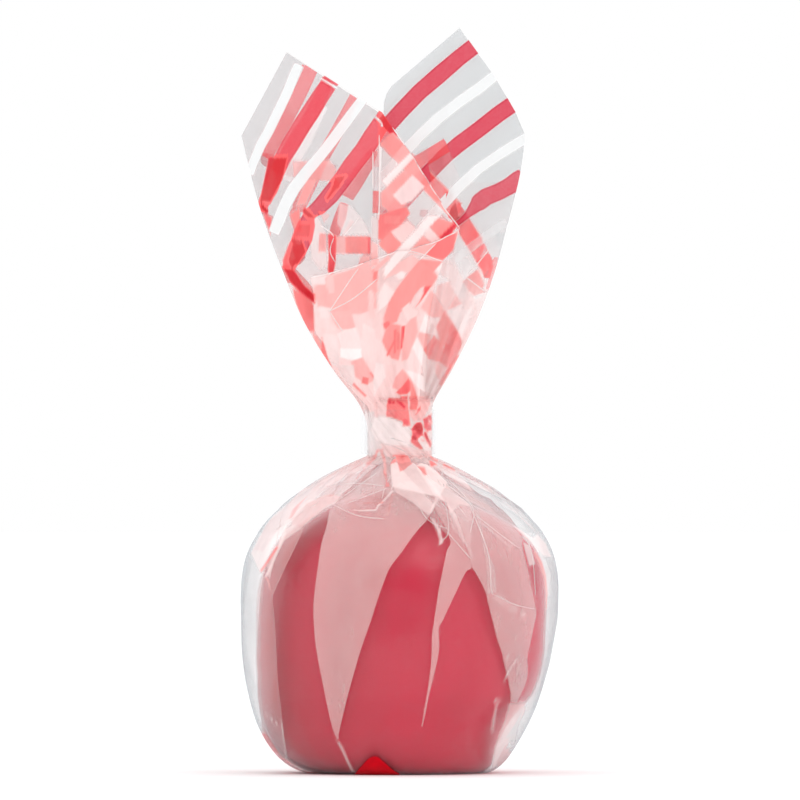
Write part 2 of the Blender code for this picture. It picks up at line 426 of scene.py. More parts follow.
def printed_film(name, gloss):
    """Oriented polypropylene film, cast clear and reverse printed in two translucent inks.

    To the eye it is nearly clear, whitens where many layers lie on each other and greys towards grazing.
    Ink pools along a stripe's rims, and thins out at the very edge.
    """
    settings = bpy.context.scene.film
    made, tree, shader, output = new_material(name)
    printed = add_node(tree, "ShaderNodeUVMap", uv_map="print").outputs[0]
    inside_red, inside_white, _ = add_node(tree, "ShaderNodeSeparateXYZ", {0: printed}).outputs
    film = add_node(tree, "ShaderNodeVertexColor", layer_name="film")
    haze, grey, red_ink = add_node(tree, "ShaderNodeSeparateColor", {0: film.outputs["Color"]}).outputs
    white_ink = film.outputs["Alpha"]
    place = add_node(tree, "ShaderNodeTexCoord").outputs["Object"]

    blush = add_node(tree, "ShaderNodeAttribute", attribute_name="blush").outputs["Fac"]
    red = between(tree, inside_red, -0.10, 0.16)
    white = between(tree, inside_white, -0.16, 0.16)
    ramp = add_node(tree, "ShaderNodeValToRGB", {0: inside_red})
    tones = ((0.0, 1.0, 0.16), (0.18, 0.97, 0.05), (0.34, 0.78, 0.0), (0.62, 1.0, 0.05))
    stops = ramp.color_ramp.elements
    stops[0].position = tones[0][0]
    stops[1].position = tones[-1][0]
    for position, _, _ in tones[1:-1]:
        stops.new(position)
    for stop, (_, depth, pale) in zip(stops, tones):
        stop.color = rgba([c * depth * (1 - pale) + pale for c in settings.red_ink])
    # The ink takes with a fine grain.
    grain = add_node(tree, "ShaderNodeTexNoise", {"Vector": place, "Scale": 1500.0, "Detail": 2.0}).outputs[0]
    ink = blend(tree, maths(tree, "MULTIPLY", between(tree, grain, 0.40, 0.75), 0.35), ramp.outputs[0],
                rgba([c * 0.9 + 0.1 for c in settings.red_ink]))
    # Painted light: among many hazy layers, and under strong blush, the ink is given a lighter colour, as if lit from
    # all sides.
    painted_glow = maths(tree, "MAXIMUM", between(tree, haze, 0.06, 0.15), between(tree, blush, 0.25, 0.5))
    ink = blend(tree, painted_glow, ink, rgba(settings.painted_lit_ink))
    # Where one print lies on another, both inks take their share of the light.
    ink = blend(tree, between(tree, blush, 1.1, DEEPEST_BLUSH), ink, rgba(linear(BLUSHES[-1])))

    # Haze gathers in drawn streaks a few mm long.
    streaks = add_node(tree, "ShaderNodeMapping", {0: place, "Scale": (1.0, 1.0, 0.35)}).outputs[0]
    cloud = add_node(
        tree, "ShaderNodeTexNoise", {"Vector": streaks, "Scale": 220.0, "Detail": 4.0, "Roughness": 0.6}
    ).outputs[0]
    uneven = between(tree, cloud, 0.25, 0.75)
    haze = maths(tree, "MULTIPLY", haze, maths(tree, "MULTIPLY_ADD", uneven, 0.24, 0.88))

    # A film seen aslant is more film to see through, and there it is given more grey: painted shade, standing in for
    # the darker surroundings it mirrors.
    facing = add_node(tree, "ShaderNodeLayerWeight", {"Blend": 0.5}).outputs["Facing"]
    painted_aslant_shade = maths(tree, "MULTIPLY", maths(tree, "POWER", facing, 2.5), 0.56)
    painted_aslant_shade = maths(tree, "MULTIPLY", painted_aslant_shade, between(tree, haze, 0.8, 0.0))
    grey = maths(tree, "MAXIMUM", maths(tree, "ADD", grey, painted_aslant_shade), 0.0)
    both = maths(tree, "ADD", haze, grey)
    tints = add_node(tree, "ShaderNodeValToRGB", {0: maths(tree, "DIVIDE", blush, DEEPEST_BLUSH)})
    stops = tints.color_ramp.elements
    for step, tint in enumerate(BLUSHES):
        stop = stops[0] if step == 0 else stops[-1] if step == len(BLUSHES) - 1 else None
        stop = stop or stops.new(step / (len(BLUSHES) - 1))
        stop.position = step / (len(BLUSHES) - 1)
        stop.color = rgba(linear(tint))
    milk = tints.outputs[0]
    tone = blend(tree, maths(tree, "DIVIDE", haze, maths(tree, "ADD", both, 0.0001)), rgba(SHADE_GREY), milk)
    tone = blend(tree, white, tone, rgba(settings.white_ink))
    white = maths(tree, "MULTIPLY", white, maths(tree, "MULTIPLY", white_ink, 0.86))
    cover = maths(tree, "MAXIMUM", maths(tree, "MINIMUM", both, 0.98), white)
    tone = blend(tree, red, tone, ink)
    red = maths(tree, "MULTIPLY", red, maths(tree, "MULTIPLY", red_ink, 0.95))
    cover = maths(tree, "MAXIMUM", cover, red)

    tree.links.new(tone, shader.inputs["Base Color"])
    tree.links.new(cover, shader.inputs["Alpha"])
    shader.inputs["Roughness"].default_value = 0.5
    shader.inputs["IOR"].default_value = 1.49
    shader.inputs["Specular IOR Level"].default_value = 0.2
    gloss_over(tree, shader.outputs[0], output, 0.16, gloss)
    return made


def inner_film(name, gloss):
    """The film's unprinted inner face: it adds only its gloss."""
    made, tree, shader, output = new_material(name)
    shader.inputs["Base Color"].default_value = rgba(HAZE_WHITE)
    shader.inputs["Roughness"].default_value = 0.4
    shader.inputs["IOR"].default_value = 1.49
    shader.inputs["Alpha"].default_value = 0.01
    gloss_over(tree, shader.outputs[0], output, 0.16, gloss)
    return made


def film_materials(gloss):
    """The film's outer and inner face. Film inside the bag mirrors less than the rest."""
    made = []
    for face, make in (("printed", printed_film), ("inner face", inner_film)):
        name = f"oriented polypropylene film, {face}" + (", within" if gloss < FILM_GLOSS else "")
        made.append(bpy.data.materials.get(name) or make(name, gloss))
    return made


def toffee_material():
    """Hard crack toffee: sugar and glucose boiled to a glass, coloured red, and set on the apple.

    It is clear red glass over a matt apple, so it is deep and wet looking, with faint clouds where the
    coat is thicker, fine trapped bubbles and soft runs.
    """
    settings = bpy.context.scene.toffee_apple
    if "hard crack toffee, dipped" in bpy.data.materials:
        return bpy.data.materials["hard crack toffee, dipped"]
    made, tree, shader, _ = new_material("hard crack toffee, dipped")
    place = add_node(tree, "ShaderNodeTexCoord").outputs["Object"]
    runs = add_node(tree, "ShaderNodeMapping", {0: place, "Scale": (1.0, 1.0, 0.4)}).outputs[0]
    cloud = add_node(
        tree, "ShaderNodeTexNoise", {"Vector": runs, "Scale": 55.0, "Detail": 3.0, "Roughness": 0.55}
    ).outputs[0]
    # Painted shade: the coat is darker down the left side, where less light falls on it.
    across = add_node(tree, "ShaderNodeSeparateXYZ", {0: place}).outputs[0]
    outside_left_shade = between(tree, across, -0.031, -0.011)
    thin = maths(tree, "ADD", maths(tree, "MULTIPLY", outside_left_shade, 0.7),
                 maths(tree, "MULTIPLY", between(tree, cloud, 0.35, 0.7), 0.3))
    # Painted shade: deep is the toffee darkened, used both for the shaded left side and for the faint clouds where the
    # coat is thicker.
    deep = rgba([c * share for c, share in zip(settings.toffee, (0.60, 0.2, 0.4))])
    tree.links.new(blend(tree, thin, deep, rgba(settings.toffee)), shader.inputs["Base Color"])
    bubbles = add_node(tree, "ShaderNodeTexVoronoi", {"Vector": place, "Scale": 900.0}).outputs["Distance"]
    pits = between(tree, bubbles, 0.10, 0.22)
    waves = add_node(tree, "ShaderNodeTexNoise", {"Vector": runs, "Scale": 140.0, "Detail": 2.0}).outputs[0]
    relief = maths(tree, "ADD", waves, maths(tree, "MULTIPLY", pits, 0.12))
    bump = add_node(tree, "ShaderNodeBump", {"Height": relief, "Strength": 0.25, "Distance": 0.0006})
    tree.links.new(bump.outputs[0], shader.inputs["Normal"])
    tree.links.new(between(tree, cloud, 0.0, 4.0), shader.inputs["Roughness"])
    shader.inputs["IOR"].default_value = 1.5
    shader.inputs["Specular IOR Level"].default_value = 0.3
    shader.inputs["Coat Weight"].default_value = 0.12
    shader.inputs["Coat Roughness"].default_value = 0.06
    return made


def painted_lit_drop_material():
    """The same toffee where it stuck to the film and set thick: wetted by the film, it has little gloss. Its colour is
    painted lighter than the coat's, as if lit, though it faces down towards the floor.
    """
    made, tree, shader, _ = new_material("hard crack toffee, stuck to the film")
    place = add_node(tree, "ShaderNodeTexCoord").outputs["Object"]
    cloud = add_node(tree, "ShaderNodeTexNoise", {"Vector": place, "Scale": 400.0, "Detail": 2.0}).outputs[0]
    red = bpy.context.scene.toffee_apple.drop
    tone = blend(tree, between(tree, cloud, 0.35, 0.65), rgba([c * 0.85 for c in red]), rgba(red))
    tree.links.new(tone, shader.inputs["Base Color"])
    shader.inputs["Roughness"].default_value = 0.35
    shader.inputs["IOR"].default_value = 1.5
    shader.inputs["Specular IOR Level"].default_value = 0.08
    return made


def tape_material():
    """Clear packing tape, cast and slit: glossy, barely tinted, and with a painted highlight along its cut edges."""
    settings = bpy.context.scene.neck_tape
    made, tree, shader, output = new_material("clear adhesive tape")
    place = add_node(tree, "ShaderNodeTexCoord").outputs["Object"]
    low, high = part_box("neck_tape")
    height = add_node(tree, "ShaderNodeSeparateXYZ", {0: place}).outputs[2]
    line = settings.edge_width
    # Painted highlight: a faint whiter line along the tape's cut edges, where they catch the light.
    foot = between(tree, height, low[2] + line, low[2] + line / 2)
    head = between(tree, height, high[2] - line, high[2] - line / 2)
    edge = maths(tree, "MAXIMUM", foot, head)
    facing = add_node(tree, "ShaderNodeLayerWeight", {"Blend": 0.5}).outputs["Facing"]
    bubbles = add_node(
        tree, "ShaderNodeTexNoise", {"Vector": place, "Scale": 600.0, "Detail": 2.0}
    ).outputs[0]
    trapped = maths(tree, "MULTIPLY", between(tree, bubbles, 0.58, 0.7), 0.03)
    cover = maths(tree, "ADD", maths(tree, "MULTIPLY", maths(tree, "POWER", facing, 3.0), 0.30), 0.01)
    cover = maths(tree, "ADD", cover, trapped)
    cover = maths(tree, "MAXIMUM", cover, maths(tree, "MULTIPLY", edge, 0.04))
    tree.links.new(cover, shader.inputs["Alpha"])
    shader.inputs["Base Color"].default_value = rgba(settings.tint)
    shader.inputs["Roughness"].default_value = 0.12
    shader.inputs["IOR"].default_value = 1.49
    gloss_over(tree, shader.outputs[0], output, 0.08, 0.3)
    return made


# ---------------------------------------------------------------------------- the apple


class ADD_OT_toffee_apple(bpy.types.Operator):
    """Turns the dipped apple: a squat fruit on the flat foot of its own toffee"""

    bl_idname = "toffee_apple.add_apple"
    bl_label = "Toffee Apple"

    def execute(self, context):
        settings = context.scene.toffee_apple
        apple = turn_apple(settings)
        make_uneven(apple, settings)
        apple.data.materials.append(toffee_material())
        bpy.ops.object.shade_smooth()
        stand_for_bag(apple)
        return {"FINISHED"}


# The apple's outline from the front: height, and how far out its left and its right side are there.
APPLE_OUTLINE = (
    (0.0, -20.6, 20.0), (0.2, -22.4, 21.4), (1.5, -26.2, 23.0), (4.0, -30.4, 24.0), (7.0, -33.2, 25.0),
    (10.0, -34.9, 26.4), (12.5, -35.2, 27.8), (15.0, -35.5, 29.6), (17.5, -35.8, 32.0), (20.0, -36.1, 34.0),
    (25.0, -36.2, 36.0), (30.0, -36.5, 36.9), (35.0, -36.4, 37.2), (40.0, -36.0, 37.4), (45.0, -35.6, 37.4),
    (50.0, -34.8, 37.0), (55.0, -33.2, 35.8), (60.0, -29.8, 32.4), (63.5, -25.4, 28.2), (66.0, -21.6, 24.2),
    (68.6, -16.6, 17.8), (70.6, -11.0, 11.4), (71.9, -6.0, 6.4), (72.4, -3.0, 3.6),
)
DIMPLE_DEPTH = 3.4


def apple_profile(settings):
    """The apple's outline from the middle of its foot to the bottom of its dimple, in metres."""
    outline = np.array(APPLE_OUTLINE, float)
    rise = settings.height / (outline[-1, 0] * MM) * MM
    grow = settings.width / ((outline[:, 2] - outline[:, 1]).max() * MM) * MM
    side = np.stack([(outline[:, 2] - outline[:, 1]) / 2 * grow, outline[:, 0] * rise], axis=1)
    profile = [(side[0, 0] * share, 0.0) for share in (0.0, 0.4, 0.75)]
    profile += [tuple(point) for point in smoothly(side, 90)]
    edge, top = profile[-1]
    profile += [
        (edge * (1 - step / 6), top - DIMPLE_DEPTH * MM * 0.12 * (step / 6) ** 2) for step in range(1, 7)
    ]
    return profile


def apple_middle(height):
    """How far to the right the apple's middle is at a height, in mm."""
    outline = np.array(APPLE_OUTLINE, float)
    return np.interp(height, outline[:, 0], (outline[:, 1] + outline[:, 2]) / 2)


def turn_apple(settings):
    """Draws the profile by extruding one point, and spins it round the upright axis."""
    profile = apple_profile(settings)
    bpy.ops.object.select_all(action="DESELECT")
    bpy.ops.mesh.primitive_plane_add(size=1.0)
    apple = bpy.context.object
    apple.name = apple.data.name = "toffee_apple"
    bpy.ops.object.mode_set(mode="EDIT")
    bpy.ops.mesh.select_all(action="SELECT")
    bpy.ops.mesh.merge(type="CENTER")
    for (x, z), (next_x, next_z) in zip(profile, profile[1:]):
        bpy.ops.mesh.extrude_vertices_move(TRANSFORM_OT_translate={"value": (next_x - x, 0.0, next_z - z)})
    bpy.ops.mesh.select_all(action="SELECT")
    bpy.ops.mesh.spin(steps=128, angle=2 * pi, center=(0, 0, 0), axis=(0, 0, 1))
    bpy.ops.mesh.select_all(action="SELECT")
    bpy.ops.mesh.remove_doubles(threshold=0.00002)
    bpy.ops.mesh.normals_make_consistent(inside=False)
    bpy.ops.object.mode_set(mode="OBJECT")
    return apple


def make_uneven(apple, settings):
    """The fruit's five soft lobes, its lean, and the toffee's uneven thickness and runs."""
    for vertex in apple.data.vertices:
        x, y, z = vertex.co
        radius = hypot(x, y)
        if radius < 1e-6:
            continue
        turn = atan2(y, x)
        rise = z / settings.height
        lobes = 0.6 * MM * rise**2 * cos(5 * turn + 0.6) * abs(sin(turn))
        coat = settings.coat_unevenness * (noise.noise(vertex.co * 45) + 0.33 * noise.noise(vertex.co * 140))
        grown = radius + (lobes + coat) * ease(0, 0.12, rise)
        vertex.co.x = x / radius * grown + apple_middle(z / MM) * MM
        vertex.co.y = y / radius * grown * 0.975


# ---------------------------------------------------------------------------- the film of the body


# The pleats that take up the fullness between the belly and the neck, each a fold of two more layers
# inside the bag. Their left and right sides are given from the neck down to the tip, as (x, height) seen
# from the front. haze is each layer's.
FRONT_PLEATS = {
    "broad": {
        "left": (
            (-5.5, 79.0), (-12, 73.5), (-17.0, 68.4), (-18.2, 66.4), (-19.0, 63.0), (-20.0, 60.0), (-20.6, 57.0),
            (-21.0, 54.0), (-21.5, 50.0), (-22.1, 44.0), (-22.1, 40.0), (-21.9, 36.0), (-21.5, 32.0), (-20.3, 25.0),
            (-18.7, 17.0), (-17.2, 11.0), (-16.2, 8.8),
        ),
        "right": (
            (3.0, 79.0), (9.0, 70.6), (7.2, 65.4), (5.0, 62.9), (2.5, 59.8), (0.4, 56.8), (-2.4, 53.2), (-4.0, 49.6),
            (-6.0, 44.0), (-8.0, 37.8), (-10.0, 32.0), (-12.0, 25.2), (-13.7, 19.0), (-15.4, 12.0), (-16.0, 8.8),
        ),
        "haze": 0.28,
        "blush": 0.28,
    },
    "narrow": {
        "left": (
            (-1.0, 79.0), (8.0, 69.0), (12.7, 60.4), (12.0, 57.3), (11.3, 54.0), (10.7, 51.0), (10.0, 47.5),
            (9.5, 44.0), (9.1, 41.5), (8.7, 38.5), (8.3, 36.0), (8.2, 32.0), (8.0, 28.0), (7.6, 25.0), (7.2, 22.0),
            (6.3, 17.0), (5.6, 12.3),
        ),
        "right": (
            (3.5, 79.0), (12.5, 67.0), (18.1, 54.0), (17.0, 52.0), (15.8, 49.7), (14.6, 47.0), (13.3, 44.3),
            (12.1, 41.8), (11.0, 39.4), (10.0, 37.4), (10.1, 34.0), (10.0, 31.5), (9.4, 28.3), (8.4, 24.0),
            (7.4, 20.0), (6.6, 16.0), (5.8, 12.3),
        ),
        "haze": 0.28,
        "blush": 0.28,
    },
    "crumpled": {
        "left": (
            (4.0, 79.0), (14.0, 66.0), (18.1, 54.0), (19.2, 52.0), (21.0, 48.8), (22.2, 46.0), (22.6, 44.0),
            (23.8, 39.5), (25.0, 34.8), (26.4, 30.0), (27.4, 25.5), (28.4, 20.6), (28.4, 18.5),
        ),
        "right": (
            (7.0, 79.0), (24.0, 69.0), (31.3, 61.0), (31.6, 59.0), (32.1, 56.0), (33.2, 51.0), (34.1, 45.5),
            (34.8, 41.0), (34.2, 38.0), (33.5, 34.0), (32.7, 30.0), (32.6, 24.0), (30.0, 18.2),
        ),
        "haze": 0.27,
        "blush": 0.24,
    },
    "strip": {
        "left": ((6.0, 79.0), (18.0, 68.0), (19.3, 66.2), (20.3, 63.0), (21.3, 58.5), (22.2, 53.5), (22.4, 46.0)),
        "right": ((7.0, 79.0), (19.0, 69.0), (20.6, 64.5), (21.6, 60.0), (23.0, 56.0), (24.3, 52.0), (24.7, 46.5)),
        "haze": 0.20,
        "blush": 0.10,
    },
    "outer": {
        "left": (
            (-6.0, 79.0), (-16.0, 74.5), (-25.0, 67.5), (-31.5, 59.5), (-35.2, 52.0), (-36.8, 44.0), (-37.0, 30.0),
            (-36.4, 17.0), (-34.0, 8.0), (-29.0, 3.4),
        ),
        "right": (
            (-4.5, 79.0), (-13.0, 71.5), (-20.0, 66.9), (-23.8, 63.9), (-25.4, 61.0), (-27.8, 55.8), (-30.0, 51.0),
            (-32.5, 45.4), (-32.2, 41.0), (-31.7, 33.0), (-31.2, 24.0), (-30.3, 16.0), (-29.8, 11.0), (-28.9, 3.6),
        ),
        "haze": 0.15,
        "blush": 0.60,
    },
}

# The back takes up its fullness in much the same way.
BACK_PLEATS = ("broad", "narrow", "crumpled")

# Patches of folded and crumpled film as they show from the front: haze, blush, grey and outline. Their grey is painted
# shade on folds and facets, and a patch of two corners with little blush is a fine bright crease, partly painted
# highlight.
SHOULDER_PATCHES = (
    # All of the shoulder above the apple, then the broad swath that comes down from the neck.
    (0.46, 0.16, 0.06, ((-38, 56), (-36, 60), (-33, 64.5), (-28, 69.5), (-22, 74), (-15, 77.5), (-9, 80), (9, 80.5),
        (15, 77), (22, 73), (28, 68), (33, 63.5), (37, 58.5), (38.5, 55), (36.5, 55.5), (33.5, 59), (31.3, 61.2),
        (26, 64.5), (18, 68.6), (9.6, 70.1), (4, 71), (0, 72.3), (-4, 72.8), (-9, 71.3), (-13.5, 69.8),
        (-17.3, 68.5), (-20, 66.9), (-24.7, 63), (-27.5, 60), (-29, 57.5), (-31, 57.8), (-33.5, 54), (-35.5, 51))),
    (0.42, 0.30, 0.16, ((-37, 57), (-34, 63), (-28, 69.2), (-20, 74.6), (-10, 79.4), (-9, 77.4), (-19, 72), (-26, 67),
        (-31.5, 61.5), (-34.8, 56.5))),
    (0.76, 0.16, 0.0, ((-2.5, 79), (8, 78.5), (12, 74), (18, 68.5), (17.8, 60.5), (13.4, 62.2), (12.4, 65.7),
        (9.9, 69.7), (8.6, 67.7), (7.3, 65.7), (4.5, 67.8), (3, 69.4), (1, 70.6), (-1, 71.6), (-2, 73.5))),
    (0.10, 0.0, 0.26, ((13, 78), (25, 70.5), (30, 66), (35, 61), (34, 60), (28, 64.5), (24, 67), (19, 72))),
    (0.92, 0.16, 0.0, ((-2.5, 79), (8, 78.5), (12, 74), (9.9, 70.4), (4, 71.4), (1, 72.2), (-2, 73.5))),
    # Between the swath and the top of the apple.
    (0.22, 0.2, 0.0, ((9.9, 69.6), (11.7, 69.2), (12.4, 65.7))),
    (0.28, 0.1, 0.0, ((7.3, 65.9), (8.6, 67.6), (11.9, 63.2), (12.7, 60.6), (11.6, 61.3), (10.3, 62.5), (8.6, 64.8))),
    (0.10, 0.0, 0.0, ((11, 62.8), (12, 63.4), (12.6, 61.8), (11.8, 61.8))),
    (0.03, 0.0, 0.0, ((10.3, 62.4), (11.6, 61.2), (12.7, 60.4), (12.5, 59.6), (11, 60.1), (10.4, 60.8))),
    (0.55, 0.05, 0.0, ((7.2, 65.6), (8.2, 64), (9, 62.7), (9.6, 61.3), (9.95, 60), (9.8, 58.3), (10.9, 59),
        (10.9, 60), (10.4, 60.7), (10.3, 62.3), (9.8, 62.9), (8.6, 64.8))),
    (0.60, 0.1, 0.0, ((12.4, 65.7), (13.5, 62.2), (15.2, 60), (17.3, 57), (18.2, 54.4), (18.6, 55), (17.6, 58.5),
        (18.1, 60.2), (18.2, 64), (18, 68), (15, 68.5))),
    (0.34, 0.62, 0.0, ((-13.5, 69.8), (-9, 71.3), (-4, 72.8), (-3, 70.5), (-5.5, 68.7), (-6.3, 67.2), (-12, 67.3))),
    (0.75, 0.05, 0.0, ((-12, 67.6), (-6.4, 67.6), (-5.4, 69.2), (-1.7, 72.3), (-1.5, 71.8), (-5.2, 68.4),
        (-6.1, 67.1), (-12, 67.2))),
    (0.7, 1.1, 0.0, ((-9.5, 69), (-4.3, 69.3))),
    (0.7, 1.1, 0.0, ((-3.2, 66), (-2, 71))),
    (0.45, 0.55, 0.0, ((-16, 70), (-9, 72.2), (-2.6, 73.6), (-2.6, 72.4), (-9, 71.2), (-14, 69.6))),
    (0.6, 1.15, 0.0, ((-13, 69.9), (-8, 70.3))),
    (0.6, 1.15, 0.0, ((-8, 70.3), (-3.6, 71.2))),
    (0.45, 0.9, 0.0, ((-12, 67.0), (-6.5, 66.4))),
    (0.45, 0.8, 0.0, ((-6.5, 66.4), (-3.4, 67.6))),
    # The left shoulder: cream folds, and lines of red print along them.
    (0.60, 0.35, 0.08, ((-27.5, 62.5), (-24.9, 62.8), (-20, 67.1), (-17.3, 68.7), (-14, 70), (-17, 71.5), (-23, 69.5),
        (-27.5, 65.5))),
    (0.5, 0.75, 0.0, ((-28.2, 64.8), (-27.2, 67.3), (-25, 69.2), (-23.5, 70.3), (-25.2, 68.4), (-27.6, 65))),
    (0.5, 0.7, 0.0, ((-18.2, 70.8), (-15.3, 73.4), (-15.1, 73), (-17.6, 70.7))),
    (0.5, 0.9, 0.0, ((-13.4, 72.3), (-12, 73.5), (-11.9, 73), (-13, 72.1))),
    (0.55, 0.55, 0.1, ((-11.3, 75.2), (-8.5, 78.6), (-6.3, 80.6), (-6, 80.2), (-8, 77.8), (-11, 74.9))),
    (0.60, 0.2, 0.0, ((-29.6, 59.1), (-24.9, 62.5), (-27, 63.5), (-29.4, 62), (-33.6, 53), (-33.2, 49.5),
        (-31.8, 54))),
    (0.32, 0.1, 0.0, ((-29.6, 59.1), (-24.9, 62.5), (-25.4, 61), (-27.8, 55.8), (-30, 51), (-32.5, 45.4),
        (-33.2, 49), (-31.8, 54))),
    (0.75, 0.1, 0.0, ((-29.6, 62), (-29, 63.5), (-29.2, 60), (-30.3, 57.5), (-31.8, 54.5), (-33.4, 50.5),
        (-34.3, 50.2), (-32.7, 53.5), (-31.2, 57.3), (-30, 60))),
    (0.75, 0.85, 0.0, ((-31.3, 58.1), (-30.8, 57.6), (-35, 51.2), (-35.5, 51.7))),
    (0.75, 0.85, 0.0, ((-34, 50), (-33.6, 49.6))),
    (0.75, 0.85, 0.0, ((-33.6, 49.6), (-32.9, 47))),
    # The right shoulder: creased facets.
    (0.45, 0.2, 0.0, ((22.5, 61), (25, 62.8), (29, 58), (31.5, 50), (28, 47), (25, 46.8), (24.7, 52))),
    (0.50, 0.15, 0.0, ((30.5, 58), (31.7, 57), (33.3, 50.5), (34.6, 42.5), (33.5, 41.5), (31.8, 44.5), (31, 52))),
    (0.46, 0.2, 0.0, ((31, 40), (33.4, 39.5), (33, 31), (31.5, 27.5), (30.8, 30))),
    (0.60, 0.1, 0.0, ((25, 46.5), (27, 44.6), (30, 42), (33, 40), (31.5, 40.4), (29, 41.5), (26, 43.3), (23.2, 45))),
    (0.5, 0.1, 0.0, ((27, 63.6), (30.8, 59))),
    (0.7, 0.05, 0.0, ((20.7, 64), (27.6, 58.4))),
    (0.7, 0.05, 0.0, ((27.6, 57.3), (28.9, 59.2))),
    (0.45, 0.4, 0.0, ((19.4, 66.5), (22, 64.8), (25, 63.4), (28, 62.3), (27.9, 61.8), (24.5, 62.7), (21.5, 64.2))),
    (0.45, 0.0, 0.1, ((31.4, 59.5), (33.3, 58.2), (34, 56), (34.6, 53.5), (33, 53), (32.3, 55.5))),
    (0.5, 0.0, 0.5, ((31.2, 60.8), (33.3, 58.8))),
    (0.35, 0.0, 0.15, ((35.5, 57), (37.5, 54), (38.5, 51), (38, 45), (37.5, 45), (36.8, 50.5), (35.3, 54.5))),
    (0.45, 0.6, 0.0, ((34.5, 57.2), (36.3, 54), (37.3, 50.8), (37.6, 46), (37.4, 42), (37, 42), (37, 46), (36.6, 50),
        (35.5, 53.5), (34.2, 56.3))),
    (0.7, 0.05, 0.0, ((26.2, 31), (29, 28.5))),
    (0.7, 0.05, 0.0, ((29, 28.5), (30.8, 26))),
    (0.7, 0.05, 0.0, ((28.4, 28), (26.6, 24.5))),
    # The narrow pleat's facets.
    (0.50, 0.05, 0.0, ((8.3, 37), (9.9, 37.2), (9.9, 34.2), (8.7, 34.4))),
    (0.35, 0.5, 0.0, ((7.9, 26.6), (8.9, 26.2), (8.4, 23.6), (7.8, 24))),
    (0.35, 0.5, 0.0, ((6.4, 18.4), (7.0, 18.2), (6.7, 16.6), (6.3, 17))),
    (0.45, 0.05, 0.0, ((-16.4, 8.8), (-15.6, 8.6), (-14.4, 6.5), (-13.2, 4), (-11.6, 0.8), (-12.3, 0.8), (-13.9, 4),
        (-15.1, 6.5))),
    # The lower right, where slack film stands off the apple, and the lower left edge.
    (0.40, 0.3, 0.12, ((27.6, 17.9), (29.2, 19), (31.9, 18.7), (32.2, 16), (30, 12), (27.5, 7.5), (24, 1.2),
        (23.3, 1.3), (23.9, 6), (25.2, 10), (26.4, 13.2), (27.3, 16.3))),
    (0.30, 0.0, 0.2, ((27, 9.5), (29.5, 13), (31, 15.5), (29, 7))),
    (0.35, 0.55, 0.15, ((24.6, 3.2), (26.8, 7.4), (28, 6), (28.3, 4.5), (26, 2.2), (24.8, 1.6))),
    (0.30, 0.0, 0.0, ((24.2, 18.4), (24.8, 18.3), (24.2, 14), (23.8, 10.5), (23, 11), (23.4, 14.5))),
    (0.5, 0.05, 0.0, ((24, 18.8), (28.3, 18.3))),
    # Down at the left the film is drawn tight on the toffee.
    (0.55, 1.25, -0.45, ((-36.5, 11), (-34.4, 10), (-30.5, 4.6), (-25, 1), (-20, 0.3), (-24, 0), (-30, 1.5),
        (-34, 5.5), (-36.5, 9.5))),
    (0.6, 0.05, 0.0, ((-33.8, 15), (-30.4, 12.2))),
    (0.5, 0.05, 0.0, ((-30, 13), (-28.9, 3.6))),
)
